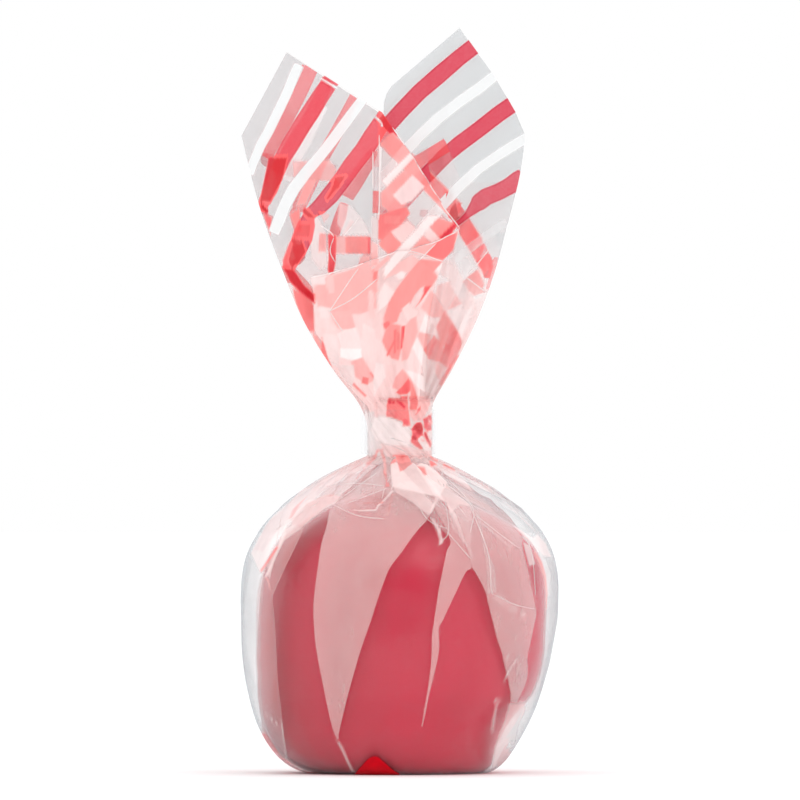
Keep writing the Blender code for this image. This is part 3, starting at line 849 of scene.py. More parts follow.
NECK_PATCHES = (
    (0.70, 0.04, 0.10, ((-8.8, 80.5), (-8.8, 92), (-6.5, 92), (-6, 88), (-6.2, 84), (-5, 81.5), (-4.9, 80.3))),
    (0.85, 0.30, 0.0, ((-6.6, 91), (-6.6, 96), (-3.2, 96), (-3.2, 91))),
    (0.90, 0.07, 0.0, ((-6.4, 90.5), (-4, 90.9), (-1, 90.1), (1, 89.2), (2.3, 88), (2.6, 85), (2, 83.2), (0, 83.6),
        (-3, 83.7), (-6, 85), (-7, 87.5))),
    (0.90, 0.84, 0.0, ((-3.4, 91), (-3.2, 94.2), (-2.9, 95.6), (1.8, 95.5), (2.2, 92), (2.6, 88.4), (1.6, 88.8),
        (0.8, 89.4), (-1, 90.2))),
    (0.90, 0.85, 0.0, ((-3.3, 91.2), (-3, 95), (-1.2, 95.3), (-0.9, 91.2), (-1.6, 90.6))),
    (0.90, 1.25, 0.0, ((-2.9, 94), (-2.8, 95.4), (-2.3, 95.3), (-2, 94.2), (-1.5, 95.1), (-1.3, 94.2))),
    (0.90, 1.30, 0.0, ((-0.8, 95), (0.3, 94.6), (1.3, 93.4), (1.1, 92.9), (0.2, 93.7), (-0.6, 94.5))),
    (0.90, 0.95, 0.0, ((-1.5, 90.5), (-1.1, 92.3), (-0.6, 91))),
    (0.90, 1.05, 0.0, ((0.7, 88.6), (0.8, 90.3), (2.1, 89.9), (2, 88.5))),
    (0.85, 0.45, 0.0, ((2.3, 96), (2.4, 91), (3.5, 89.5), (5.5, 90), (6.5, 91.5), (7.2, 93), (7.5, 96))),
    (0.85, 0.84, 0.0, ((2.4, 92.5), (2.4, 96), (4.4, 96), (4.2, 92.5))),
    (0.90, 1.20, 0.0, ((4.9, 93.4), (4.4, 92.2), (3.9, 91.4), (4.9, 92.4))),
    (0.92, 1.15, 0.0, ((5.8, 90.2), (7.7, 91.4), (7.8, 87.4), (6.8, 87), (6, 88.2))),
    (0.80, 0.20, 0.0, ((7, 89), (7.3, 90), (7.6, 89.6))),
    (0.94, 1.10, 0.0, ((2.8, 84.6), (3, 87.4), (5.6, 86.6), (6.2, 85.8), (5, 85.4), (4.4, 84.8))),
    (0.95, 1.50, 0.0, ((2.8, 87.6), (3.4, 88.6), (4.2, 89.3), (5, 89.4), (5.6, 88.8), (5.8, 87.6), (5.5, 86.6),
        (5, 86.1), (4.4, 86.5), (3.6, 87.4))),
    (0.95, 1.45, 0.0, ((3, 84.6), (3, 85.6), (3.7, 86.2), (4.3, 84.9))),
    (0.85, 0.95, 0.0, ((2.4, 84.6), (3.1, 85.2), (4.3, 84.7), (5.6, 82.7), (5.2, 82.5), (3.6, 83.4))),
    (0.90, 0.10, 0.0, ((4.5, 85.2), (5, 85.9), (5.8, 86), (6.1, 85), (7.2, 83.6), (7.5, 82.4), (6.4, 82.2),
        (5.6, 83), (4.9, 84.1))),
    (0.90, 0.60, 0.0, ((5.2, 85.3), (6.2, 84.8), (6.4, 84.2), (5.2, 84.8))),
    (0.95, 1.50, 0.0, ((6, 86.9), (6.6, 86.7), (7.5, 84.6), (7.75, 83.5), (7.5, 83), (6.7, 84.6), (6.2, 85.8))),
    (0.85, 0.28, 0.0, ((-5, 84), (-3, 83.7), (2, 83.2), (4, 82.6), (7.5, 82), (7.8, 80.3), (4, 80), (-3, 80.3))),
    (0.90, 0.70, 0.0, ((-2, 81.2), (1.1, 81.3), (2, 80.4), (3.1, 78.4), (1.5, 77.6), (0, 76.6), (-0.6, 78.6),
        (-1.2, 80.3))),
    (0.90, 0.70, 0.0, ((-2.6, 78.6), (-2.4, 79.4), (-1, 79.7), (-0.9, 79), (-1.6, 78.4))),
    (0.90, 0.70, 0.0, ((4.2, 78.5), (6.2, 77.6), (6.9, 76.2), (6.3, 75.3), (5.6, 75.9), (5, 77.2))),
    (0.90, 0.85, 0.0, ((7.3, 79.3), (8.2, 79.3), (9.4, 78.2), (7.9, 78.2))),
    (0.90, 1.05, 0.0, ((9.2, 77), (9.6, 77.1), (10.4, 76), (10.1, 76))),
    (0.90, 1.00, 0.0, ((7.7, 80.3), (9.6, 79.4), (9.4, 79.1), (7.8, 79.9))),
    (0.90, 1.00, 0.0, ((10.8, 78.6), (13.9, 77.3), (13.8, 76.9), (11, 78.2))),
    (0.70, 0.90, 0.25, ((-4.4, 77), (-3.8, 77.6), (-3.3, 75.5), (-2.6, 74), (-2.6, 72.8), (-4, 72.8), (-3.7, 74.3))),
    (0.80, 0.50, 0.0, ((-5.2, 82.5), (-4.2, 82.8), (-3.6, 80), (-3.2, 76), (-4, 76.5), (-4.4, 79.5))),
    (0.80, 0.55, 0.0, ((-6.6, 80.6), (-5.6, 82.6), (-5, 82.4), (-6, 80.2))),
)


class ADD_OT_body_film(bpy.types.Operator):
    """Lays the single layer of film round the apple, from under its foot up into the neck"""

    bl_idname = "toffee_apple.add_body_film"
    bl_label = "Body Film"

    def execute(self, context):
        rise = NECK_BOTTOM - BULB_WIDEST_AT
        for name, first, last, columns, rows in (
            ("film_body_front", -FRONT_REACH, FRONT_REACH, 220, (44, 124, 32)),
            ("film_body_back", FRONT_REACH, 2 * pi - FRONT_REACH, 170, (26, 34, 20)),
        ):
            belly, shoulder, neck = rows
            heights = [BULB_WIDEST_AT * (1 - cos(pi / 2 * step / belly)) for step in range(belly)]
            heights += [BULB_WIDEST_AT + rise * sin(pi / 2 * step / shoulder) for step in range(shoulder)]
            heights += [NECK_BOTTOM + (FILM_TOP - NECK_BOTTOM) * step / neck for step in range(neck + 1)]
            turns = np.linspace(first, last, columns + 1)
            stand_for_bag(lay_body(name, turns, heights, painted=name.endswith("front")))
        return {"FINISHED"}


FRONT_REACH = radians(82)
FILM_TOP = 95.8


def lay_body(name, turns, heights, painted, floor_rings=5):
    """One side of the body's film, with the folds on it painted in haze where they are known."""
    points = np.zeros((floor_rings + len(heights), len(turns), 3))
    film = np.zeros((*points.shape[:2], 4))
    blush = np.zeros(points.shape[:2])
    for i in range(len(points)):
        height = heights[max(i - floor_rings, 0)]
        gather = ease(60, NECK_BOTTOM, height)
        for j, turn in enumerate(turns):
            points[i, j] = bulb_point(turn, height)
        film[i, :, 0] = CLEAR_HAZE + 0.02 * ease(16, 3, height)
        film[i, :, 0] += 0.5 if height > NECK_BOTTOM else 0.30 * gather**2
        blush[i] = 0.12 * gather
    flat = points[..., ::2]
    if painted:
        clear = pleats_let_through(flat)
        film[..., 0] = 1 - (1 - film[..., 0]) * clear
        paint(flat, film, blush, SHOULDER_PATCHES)
        high = flat[..., 1] > 80.2
        film[..., 0] = np.where(high, 0.75, film[..., 0])
        film[..., 1] = np.where(high, 0.04, film[..., 1])
        paint(flat, film, blush, NECK_PATCHES)
        film[..., 0] = np.clip(1 - (1 - film[..., 0]) / clear, CLEAR_HAZE, 0.98)
        film[..., :2] *= np.clip((FILM_TOP - flat[..., 1:]) / 1.6, 0.0, 1.0)
    # Gathered film scatters the light, so here the painted shade that film gets by its slant is taken off.
    film[..., 1] -= 0.20 * np.clip((flat[..., 1] - 52) / 14, 0.0, 1.0)
    film[..., 1] -= 0.22 * np.clip((flat[..., 1] - 72) / 6, 0.0, 1.0)
    film[-2:, :, 1] = -1.0
    for i in range(len(points)):
        height = heights[max(i - floor_rings, 0)]
        for j, turn in enumerate(turns):
            lift = gathers(turn, height) + slack(turn, height) + FOLD_STANDS * film[i, j, 0]
            lift += 0.4 * ease(NECK_TOP, FILM_TOP, height)
            x, y, z = bulb_point(turn, height, lift)
            if i < floor_rings:
                share = 0.02 + 0.98 * i / floor_rings
                x, y, z = x * share, y * share, 0.02
            points[i, j] = x, y, max(z, 0.02)
    return lay_film(name, points, unprinted(points), film, blush)


CLEAR_HAZE = 0.012
FOLD_STANDS = 0.3


def pleats_let_through(flat):
    """How much of the light from behind passes the pleats that lie inside the film."""
    clear = np.ones(flat.shape[:2])
    for shape in FRONT_PLEATS.values():
        outline = (*shape["left"], *reversed(shape["right"]))
        share = np.clip(within(flat, outline) / 0.4 + 0.5, 0, 1)
        clear *= (1 - shape["haze"] * share) ** 2
    return clear


def unprinted(points):
    return np.full((*points.shape[:2], 2), -50.0)


def gathers(turn, height):
    """The fine radial gathers that run from the neck down over the shoulder."""
    rise = ease(56, NECK_BOTTOM, height)
    turned = turn + 0.9 * rise + 0.11 * max(height - NECK_BOTTOM, 0)
    waves = 0.6 * cos(23 * turned + sin(3 * turned)) + 0.4 * cos(37 * turned + 1.0) * cos(5 * turned)
    return 0.5 * rise * waves * (1 - 0.5 * ease(NECK_BOTTOM - 2, NECK_BOTTOM + 3, height))


def slack(turn, height):
    """Broad, slightly faceted unevenness of the film where it isn't drawn tight."""
    loose = ease(0, 8, height) * (1 - 0.6 * ease(60, NECK_BOTTOM, height))
    x, y = 38 * cos(turn), 38 * sin(turn)
    broad = noise.noise(Vector((x / 22, y / 22, height / 30)))
    fine = abs(noise.noise(Vector((x / 9, y / 9, height / 16))))
    return loose * (0.5 * broad - 0.5 * fine)


def close_seam(body):
    """Merges the two ends of the sheet where they meet at the back."""
    bpy.ops.object.select_all(action="DESELECT")
    body.select_set(True)
    bpy.context.view_layer.objects.active = body
    bpy.ops.object.mode_set(mode="EDIT")
    bpy.ops.mesh.select_all(action="SELECT")
    bpy.ops.mesh.remove_doubles(threshold=0.00001)
    bpy.ops.object.mode_set(mode="OBJECT")


class ADD_OT_body_pleats(bpy.types.Operator):
    """Lays the pleats that take up the film's fullness between the belly and the neck"""

    bl_idname = "toffee_apple.add_body_pleats"
    bl_label = "Body Pleats"

    def execute(self, context):
        laid = [lay_pleat(name, **shape) for name, shape in FRONT_PLEATS.items()]
        laid += [lay_pleat(f"{name}_behind", **FRONT_PLEATS[name], behind=True) for name in BACK_PLEATS]
        pleats = join("film_pleats", laid)
        stand_for_bag(pleats)
        return {"FINISHED"}


def lay_pleat(name, left, right, haze, blush, behind=False, rows=110, columns=12):
    """One pleat: an outer layer from its left fold to its right, and an under layer back again."""
    left = smoothly(left, rows)
    right = smoothly(right, rows)
    gap = bpy.context.scene.film.layer_gap / MM
    points = np.zeros((rows + 1, 2 * columns + 1, 3))
    film = np.zeros((rows + 1, 2 * columns + 1, 4))
    for i in range(rows + 1):
        turns = [turn_at(*left[i]), turn_at(*right[i])]
        for j in range(2 * columns + 1):
            share = 1 - abs(1 - j / columns)
            outer = j >= columns
            turn = turns[0] + (turns[1] - turns[0]) * share
            height = left[i][1] + (right[i][1] - left[i][1]) * share
            sunk = PLEAT_SINKS + (0.0 if outer else gap)
            turn = pi - turn if behind else turn
            rest = slack(turn, height) + gathers(turn, height)
            points[i, j] = bulb_point(turn, height, rest - sunk * min(1.0, 0.3 + i / 12))
            film[i, j] = haze, 0.0, 0.0, 0.0
    if not behind:
        points, film = points[::-1], film[::-1]
    return lay_film(name, points, unprinted(points), film, blush, gloss=PLEAT_GLOSS)


# Inside the bag there is less light to mirror.
PLEAT_GLOSS = 0.1
PLEAT_SINKS = 0.25

# The toffee that ran down to the foot and stuck to the film there, seen from the front.
FOOT_DROP = ((-11.5, 0.15), (-10, 2), (-7.8, 4.4), (-6.5, 4.9), (-5.7, 4.8), (-4, 3.3), (-2, 1.5), (0, 0.15))


class ADD_OT_foot_drop(bpy.types.Operator):
    """Lays the drop of toffee that stuck to the film at the foot"""

    bl_idname = "toffee_apple.add_foot_drop"
    bl_label = "Foot Drop"

    def execute(self, context):
        stand_for_bag(lay_foot_drop(context.scene.toffee_apple))
        return {"FINISHED"}


def lay_foot_drop(settings, rows=12, columns=24):
    bottom = evenly([FOOT_DROP[0], FOOT_DROP[-1]], columns)
    top = evenly(FOOT_DROP, columns)
    points = np.zeros((rows + 1, columns + 1, 3))
    for i in range(rows + 1):
        for j in range(columns + 1):
            x, height = bottom[j] + (top[j] - bottom[j]) * i / rows
            rim = sin(pi * j / columns) ** 0.3 * sin(pi * (0.5 + 0.5 * i / rows)) ** 0.3
            points[i, j] = bulb_point(turn_at(x, height), height, 0.12 + 0.22 * rim)
    drop = lay_film("foot_drop", points, unprinted(points), np.zeros((*points.shape[:2], 4)))
    drop.data.materials.clear()
    drop.data.materials.append(painted_lit_drop_material())
    drop.data.polygons.foreach_set("material_index", [0] * len(drop.data.polygons))
    return drop


# ---------------------------------------------------------------------------- the fan

LEFT_CORNER = (-40.4, 162.4)
LEFT_PEAK = (-28.9, 183.9)
NOTCH = (-4.5, 168.3)
FLAP_CORNER = (15.2, 138.9)
RIGHT_PEAK = (15.2, 190.0)
RIGHT_CORNER = (32.0, 162.4)
LEFT_SIDE = (
    LEFT_CORNER, (-37.9, 152), (-34.3, 139.7), (-29.7, 127.5), (-24.6, 115.3), (-17.2, 103), (-10.3, 93.8), (-7.6, 86)
)
RIGHT_SIDE = (
    RIGHT_CORNER, (30.5, 152), (27.4, 139.7), (24.1, 127.5), (19.5, 115.3), (13.4, 103), (8.3, 93.8), (7.6, 86)
)

# Each leaf's top edge runs left to right, and its sides from the top down to the neck. depth is how far
# back it stands at its top left, its top right and in the neck. red and white are its stripes, each with
# the ink's strength and then a run of (x, z, half width).
LEAVES = {
    "low_front": {
        "top": (
            (-22.8, 126.3), (-18.5, 127.2), (-14.0, 128.5), (-11.5, 129.1), (-7.5, 130.6), (-4.0, 131.7),
            (-1.0, 132.9), (2.3, 133.1), (5.0, 134.2), (9.0, 135.3), (12.0, 136.8), FLAP_CORNER,
        ),
        "left": (
            (-22.8, 126.3), (-22.2, 123.5), (-21.8, 120.0), (-22.0, 116.0), (-21.6, 112.6), (-19.9, 110.0),
            (-18.2, 106.0), (-16.4, 102.4), (-13.2, 98.8), (-9.9, 95.0), (-7.9, 92.6), (-6.8, 86),
        ),
        "right": (
            FLAP_CORNER, (14.3, 135.5), (12.5, 132.5), (11.0, 130.4), (9.9, 127.0), (9.0, 124.5), (8.0, 121.0),
            (7.3, 117.0), (6.2, 110.0), (5.4, 103.0), (5.0, 97.0), (5.0, 86),
        ),
        "depth": (-9.5, -11.0, -6.6),
        "haze": 0.42,
        "low_haze": 0.86,
        "painted": True,
    },
    "front": {
        "top": (
            LEFT_CORNER, LEFT_PEAK, NOTCH, (-1.9, 164.5), (0.8, 160.6), (2.9, 157.6), (5.1, 153.9), (6.9, 151.2),
            (8.2, 148.9), (10.2, 146.0), (11.4, 143.8), (14.2, 140.2), FLAP_CORNER,
        ),
        "left": LEFT_SIDE,
        "right": (
            FLAP_CORNER, (14.3, 135.5), (12.6, 132.4), (11.0, 130.2), (9.8, 126.5), (8.3, 121.5), (7.6, 116.0),
            (6.8, 108.0), (6.4, 98.0), (6.5, 86),
        ),
        "depth": (-6.0, -7.5, -4.6),
        "haze": 0.05,
        "flap_haze": 0.18,
        "low_haze": 0.50,
        "painted": True,
        "red": (
            (0.92, ((-17.3, 176.8, 2.2), (-18.3, 175.3, 2.2), (-20.2, 172.5, 2.3), (-22.5, 168.8, 2.4),
                   (-25.2, 164.7, 2.4), (-28.0, 160.0, 2.4), (-30.0, 156.5, 2.2), (-31.5, 152.5, 1.9),
                   (-32.8, 149.0, 1.9), (-34.5, 145.8, 1.6), (-35.4, 143.0, 1.2))),
            (0.95, ((-3.0, 168.5, 2.1), (-4.8, 165.6, 2.3), (-7.1, 162.0, 2.5), (-9.2, 158.6, 2.5),
                   (-12.2, 154.8, 2.5), (-14.8, 151.0, 2.4), (-17.7, 147.3, 2.4), (-20.5, 144.3, 2.1),
                   (-23.2, 142.4, 1.5), (-23.9, 139.5, 2.3), (-24.8, 136.5, 2.6), (-26.2, 133.3, 2.5),
                   (-27.8, 130.3, 2.0), (-28.6, 128.0, 1.6))),
        ),
        "white": (
            (1.0, ((-25.8, 180.6, 1.2), (-27.0, 177.8, 1.3), (-28.9, 173.0, 1.3), (-30.7, 169.3, 1.3),
                   (-33.5, 163.5, 1.3), (-35.5, 160.0, 1.3), (-37.4, 155.5, 1.2), (-38.4, 152.5, 1.2))),
            (1.0, ((-9.0, 172.3, 1.3), (-12.5, 167.6, 1.4), (-17.0, 161.5, 1.4), (-20.3, 157.3, 1.4),
                   (-23.7, 153.3, 1.5), (-27.3, 148.6, 1.6), (-29.3, 144.8, 1.5), (-30.8, 141.0, 1.6),
                   (-32.2, 137.5, 1.4))),
        ),
        "gap": (
            (1.0, ((-20.3, 177.0, 0.3), (-15.8, 174.4, 0.3))),
            (1.0, ((-6.1, 167.0, 0.28), (-4.9, 165.9, 0.28), (-4.5, 164.6, 0.28))),
        ),
    },
    "right_lobe": {
        "top": (
            (-4.2, 171.2), (-3.7, 172.9), (-2.4, 175.0), RIGHT_PEAK, (24.1, 177.7), (29.5, 168.4), RIGHT_CORNER
        ),
        "left": ((-4.2, 171.2), (-5.0, 160), (-5.3, 145), (-5.5, 130), (-4.6, 110), (-2.6, 95), (-2.0, 86)),
        "right": RIGHT_SIDE,
        "depth": (-1.0, 4.0, -1.5),
        "haze": 0.03,
        "low_haze": 0.12,
        "red": (
            (1.0, ((19.5, 185.7, 2.2), (15.0, 182.2, 2.2), (10.0, 177.9, 2.3), (5.0, 173.6, 2.2), (0.0, 168.4, 2.15),
                   (-2.5, 165.6, 2.15), (-5.0, 162.9, 2.1), (-8.0, 160.0, 2.1))),
            (1.0, ((29.0, 170.6, 2.2), (25.0, 167.8, 2.2), (20.0, 163.9, 2.15), (15.0, 160.2, 2.15),
                   (12.0, 157.7, 2.1), (9.0, 154.7, 2.1), (6.0, 151.6, 2.15), (3.0, 148.3, 2.2), (0.0, 144.8, 2.1),
                   (-2.5, 142.1, 2.1), (-5.4, 139.0, 2.1), (-8.0, 136.4, 2.1))),
            (0.92, ((31.5, 151.6, 2.6), (30.2, 151.0, 2.5), (27.5, 149.3, 2.25), (25.0, 148.0, 2.25),
                   (22.0, 146.8, 2.3), (20.3, 145.5, 2.3), (18.8, 143.9, 1.6), (17.2, 142.2, 1.0),
                   (15.8, 140.9, 0.8), (13.8, 139.4, 0.8), (12.0, 137.8, 0.75), (10.3, 136.0, 0.5))),
        ),
        "white": (
            (1.0, ((24.5, 177.9, 1.4), (20.0, 174.4, 1.45), (15.0, 170.9, 1.4), (10.0, 167.0, 1.45),
                   (5.0, 162.4, 1.45), (2.0, 159.2, 1.5), (0.0, 156.6, 1.5), (-2.5, 153.6, 1.5), (-5.0, 150.9, 1.5),
                   (-7.0, 149.0, 1.5))),
            (1.0, ((33.0, 162.2, 1.4), (30.0, 160.5, 1.4), (25.0, 157.4, 1.35), (20.0, 153.9, 1.35),
                   (15.0, 149.3, 1.4), (12.5, 146.6, 1.4), (10.0, 143.8, 1.45), (7.3, 140.8, 1.5),
                   (4.0, 137.0, 1.5), (0.0, 132.4, 1.5), (-3.0, 128.6, 1.5), (-5.0, 125.6, 1.2), (-5.4, 123.4, 0.9))),
            (0.35, ((27.2, 140.4, 1.2), (22.0, 136.8, 1.2), (17.0, 133.0, 1.2), (12.5, 130.0, 1.1))),
        ),
    },
    "seam": {
        "top": ((-7.3, 163.0), (-5.2, 163.0)),
        "left": ((-6.8, 163.0), (-6.9, 150), (-7.1, 130), (-7.0, 112), (-5.5, 98), (-3.2, 86)),
        "right": ((-5.2, 163.0), (-5.2, 150), (-5.4, 130), (-5.2, 112), (-4.0, 98), (-2.2, 86)),
        "depth": (1.2, 1.2, 0.0),
        "haze": 0.30,
        "red": (
            (0.88, ((-6.3, 148.4, 1.1), (-6.3, 142.6, 1.1))),
            (0.30, ((-6.2, 133.4, 0.6), (-6.2, 128.6, 0.6))),
            (0.72, ((-6.3, 128.4, 0.7), (-6.3, 122.8, 0.6))),
            (0.40, ((-5.9, 160.0, 0.8), (-6.0, 154.4, 0.7))),
        ),
    },
    "level": {
        "top": ((-38.0, 158.6), (-33.0, 158.6), (-26.0, 156.9), (-17.5, 156.2), (-15.6, 154.8)),
        "left": ((-38.0, 158.6), *LEFT_SIDE[1:]),
        "right": ((-15.6, 154.8), (-12.5, 146.0), (-7.4, 137.0), (-7.3, 122.0), (-5.5, 106.0), (-3.0, 86)),
        "depth": (1.0, 4.2, 1.6),
        "painted_glow": 0.36,
        "haze": 0.06,
        "low_haze": 0.35,
        "red": (
            (0.75, ((-35.2, 157.6, 0.8), (-33.8, 156.2, 1.8), (-31.0, 155.1, 2.1), (-29.0, 154.5, 2.1))),
            (0.42, ((-29.0, 154.3, 2.1), (-27.0, 153.9, 2.1), (-22.0, 153.1, 2.2), (-16.2, 153.0, 2.1))),
            (0.85, ((-13.8, 134.5, 2.2), (-7.3, 134.4, 2.2))),
            (0.50, ((-20.8, 135.9, 1.7), (-17.5, 135.0, 2.1), (-13.8, 134.5, 2.2))),
            (1.0, ((-29.5, 129.4, 0.9), (-28.4, 127.0, 1.3), (-28.3, 124.8, 0.6))),
            (0.90, ((-28.0, 127.6, 1.6), (-26.3, 125.6, 1.8), (-24.7, 123.7, 1.9), (-22.9, 121.6, 1.7),
                    (-22.0, 120.2, 1.0))),
            (0.55, ((-24.9, 120.6, 2.2), (-23.8, 117.0, 2.0), (-23.0, 114.0, 1.6), (-22.5, 112.0, 1.1))),
            (0.50, ((-21.4, 111.4, 0.7), (-20.2, 109.0, 1.2), (-19.0, 106.3, 1.0), (-17.8, 103.9, 0.5))),
            (0.70, ((-34.4, 142.2, 0.7), (-33.1, 140.9, 1.2), (-33.6, 139.2, 0.6))),
            (1.0, ((-35.6, 145.2, 0.7), (-34.6, 143.2, 1.1), (-34.6, 142.2, 0.5))),
            (1.0, ((-26.0, 134.6, 1.7), (-25.4, 131.6, 1.3), (-26.4, 129.6, 0.8))),
        ),
    },
    "crossing": {
        "top": ((-5.2, 166.0), (3.6, 157.6), (11.2, 162.0), (12.8, 158.0), (15.6, 150.5), (30.1, 150.5)),
        "left": ((-5.2, 166.0), (-5.3, 150), (-5.5, 130), (-5.2, 110), (-3.6, 95), (-2.6, 86)),
        "right": ((30.1, 150.5), (27.4, 139.7), (24.1, 127.5), (19.5, 115.3), (13.4, 103), (8.3, 93.8), (7.0, 86)),
        "depth": (3.0, 5.0, 3.2),
        "haze": 0.12,
        "low_haze": 0.80,
        "painted": True,
        "red": (
            (0.72, ((-6.4, 164.2, 2.2), (0.9, 156.7, 2.2), (5.0, 152.6, 2.1), (8.6, 149.1, 2.1), (11.6, 146.3, 1.8),
                    (14.4, 143.2, 1.8))),
            (0.85, ((14.4, 143.2, 1.8), (15.9, 140.6, 2.0), (17.6, 137.2, 2.1), (19.5, 134.2, 2.1))),
            (0.50, ((19.5, 134.2, 2.1), (21.0, 131.6, 2.1))),
            (0.90, ((21.0, 131.6, 2.1), (22.4, 129.0, 1.7), (22.2, 126.0, 0.8))),
            (0.42, ((-2.6, 152.9, 2.4), (2.0, 148.2, 2.4))),
            (0.50, ((8.8, 141.0, 2.4), (12.4, 137.4, 2.4))),
            (0.45, ((5.0, 142.7, 1.0), (7.2, 142.5, 1.0))),
            (0.78, ((-6.4, 146.8, 2.3), (-1.0, 141.0, 2.3), (0.6, 139.4, 2.3))),
            (0.25, ((0.6, 139.4, 2.3), (3.6, 136.3, 2.2))),
            (0.50, ((4.2, 135.9, 2.0), (7.0, 133.2, 1.8))),
            (0.62, ((-5.6, 138.2, 2.1), (0.1, 132.3, 2.1))),
            (0.80, ((3.6, 154.9, 1.9), (8.2, 157.6, 1.95), (12.2, 160.1, 1.9))),
            (1.0, ((14.2, 145.4, 1.2), (15.0, 141.0, 1.4))),
            (0.50, ((24.5, 131.5, 0.7), (23.6, 127.0, 0.7), (22.3, 123.0, 0.6))),
        ),
    },
    "far_lobe": {
        "top": (
            (-4.0, 171.0), (-3.5, 172.8), (-2.3, 174.9), (15.1, 189.8), (24.0, 177.6), (29.4, 168.3), (31.9, 162.4)
        ),
        "left": ((-4.0, 171.0), (-4.6, 160), (-5.0, 145), (-5.2, 130), (-4.4, 110), (-2.4, 95), (-1.8, 86)),
        "right": RIGHT_SIDE,
        "depth": (2.0, 6.0, 6.4),
        "haze": 0.0,
        "grey": 0.34,
    },
    "back": {
        "top": (LEFT_CORNER, (-28.9, 183.6), (-4.8, 167.9)),
        "left": LEFT_SIDE,
        "right": ((-4.8, 167.9), (-5.6, 150), (-5.8, 130), (-4.8, 110), (-2.4, 95), (-1.0, 86)),
        "depth": (-1.0, 4.4, 5.4),
        "painted_glow": 0.37,
        "haze": 0.04,
        "low_haze": 0.30,
        "grey": 0.34,
        "red": (
            (0.80, ((-22.0, 181.0, 1.9), (-23.2, 178.3, 1.9), (-24.9, 174.5, 1.9), (-28.2, 168.0, 1.9))),
            (0.86, ((-28.2, 168.0, 1.9), (-30.2, 164.2, 1.9), (-32.4, 160.2, 1.9), (-34.4, 156.8, 1.6))),
            (0.85, ((-17.6, 178.2, 1.7), (-19.6, 173.8, 1.8), (-22.3, 168.3, 1.8), (-26.5, 161.8, 1.8),
                    (-30.0, 156.0, 1.6), (-31.8, 152.8, 1.4))),
            (0.80, ((-10.6, 174.6, 1.0), (-11.9, 172.0, 1.3), (-13.4, 168.6, 1.6), (-16.7, 162.2, 1.8),
                    (-20.4, 155.8, 1.9), (-22.8, 150.6, 1.9), (-24.6, 146.5, 1.8), (-26.2, 143.5, 1.8))),
            (0.85, ((-25.9, 144.6, 1.2), (-26.9, 142.3, 1.4), (-26.3, 140.0, 1.3), (-25.9, 137.8, 1.0))),
            (0.85, ((-6.6, 158.8, 1.2), (-8.8, 154.8, 2.0), (-11.8, 150.0, 2.2), (-13.6, 146.6, 1.8))),
            (0.90, ((-14.2, 145.3, 1.2), (-15.2, 141.8, 1.6), (-16.4, 138.6, 1.5), (-17.1, 135.5, 1.2),
                    (-17.3, 131.5, 0.9), (-17.7, 127.8, 0.9))),
            (0.75, ((-7.6, 132.8, 1.2), (-8.8, 130.0, 1.7), (-10.0, 127.0, 1.5))),
            (0.90, ((-25.1, 180.5, 0.3), (-24.0, 180.0, 0.3))),
            (0.90, ((-11.9, 171.8, 0.3), (-10.3, 170.4, 0.3))),
        ),
        "white": (
            (0.55, ((-19.5, 170.0, 1.2), (-21.9, 165.0, 1.2), (-24.0, 160.5, 1.2), (-26.5, 156.3, 1.2),
                    (-29.0, 151.0, 1.2))),
        ),
    },
}

# Sharp folds and cut edges, as runs of (x, z). They show as fine bright lines: partly film whitened where it is
# creased, partly painted highlight where the folds catch the light.
CREASE_WHITENING_AND_GLINTS = (
    ((-1.9, 164.5), (0.8, 160.6), (2.9, 157.6), (5.1, 153.9), (6.9, 151.2), (8.2, 148.9), (10.2, 146.0), (11.4, 143.8),
     (14.2, 140.2), (15.2, 138.9)),
    ((-22.8, 126.3), (-18.5, 127.2), (-14.0, 128.5), (-11.5, 129.1), (-7.5, 130.6), (-4.0, 131.7), (-1.0, 132.9)),
    ((1.0, 131.6), (2.5, 133.1), (5.0, 134.2), (9.0, 135.3), (12.0, 136.8), (14.2, 137.8)),
    ((2.0, 133.1), (4.0, 132.7), (6.5, 132.0), (9.0, 131.0), (11.0, 130.4)),
    ((4.8, 130.6), (6.5, 132.3), (9.3, 135.1)),
    ((17.0, 126.2), (19.5, 124.3), (22.0, 122.4)),
    ((17.2, 126.8), (20.0, 130.0), (22.6, 133.3)),
    ((-10.6, 128.6), (-13.0, 125.2), (-18.0, 117.7)),
    ((-18.0, 117.7), (-12.0, 120.9), (-5.8, 125.9)),
    ((-18.0, 117.7), (-16.5, 115.4), (-14.5, 112.5)),
    ((-18.8, 127.0), (-16.6, 127.7)),
    ((-20.4, 139.6), (-17.8, 137.9), (-16.8, 136.6)),
    ((-16.9, 136.4), (-17.8, 133.0), (-16.6, 130.2)),
    ((-14.4, 136.8), (-12.0, 139.6), (-10.4, 141.6)),
    ((-5.3, 162.6), (-5.2, 150.0), (-5.4, 141.0)),
    ((-6.9, 158.4), (-6.9, 149.0)),
)
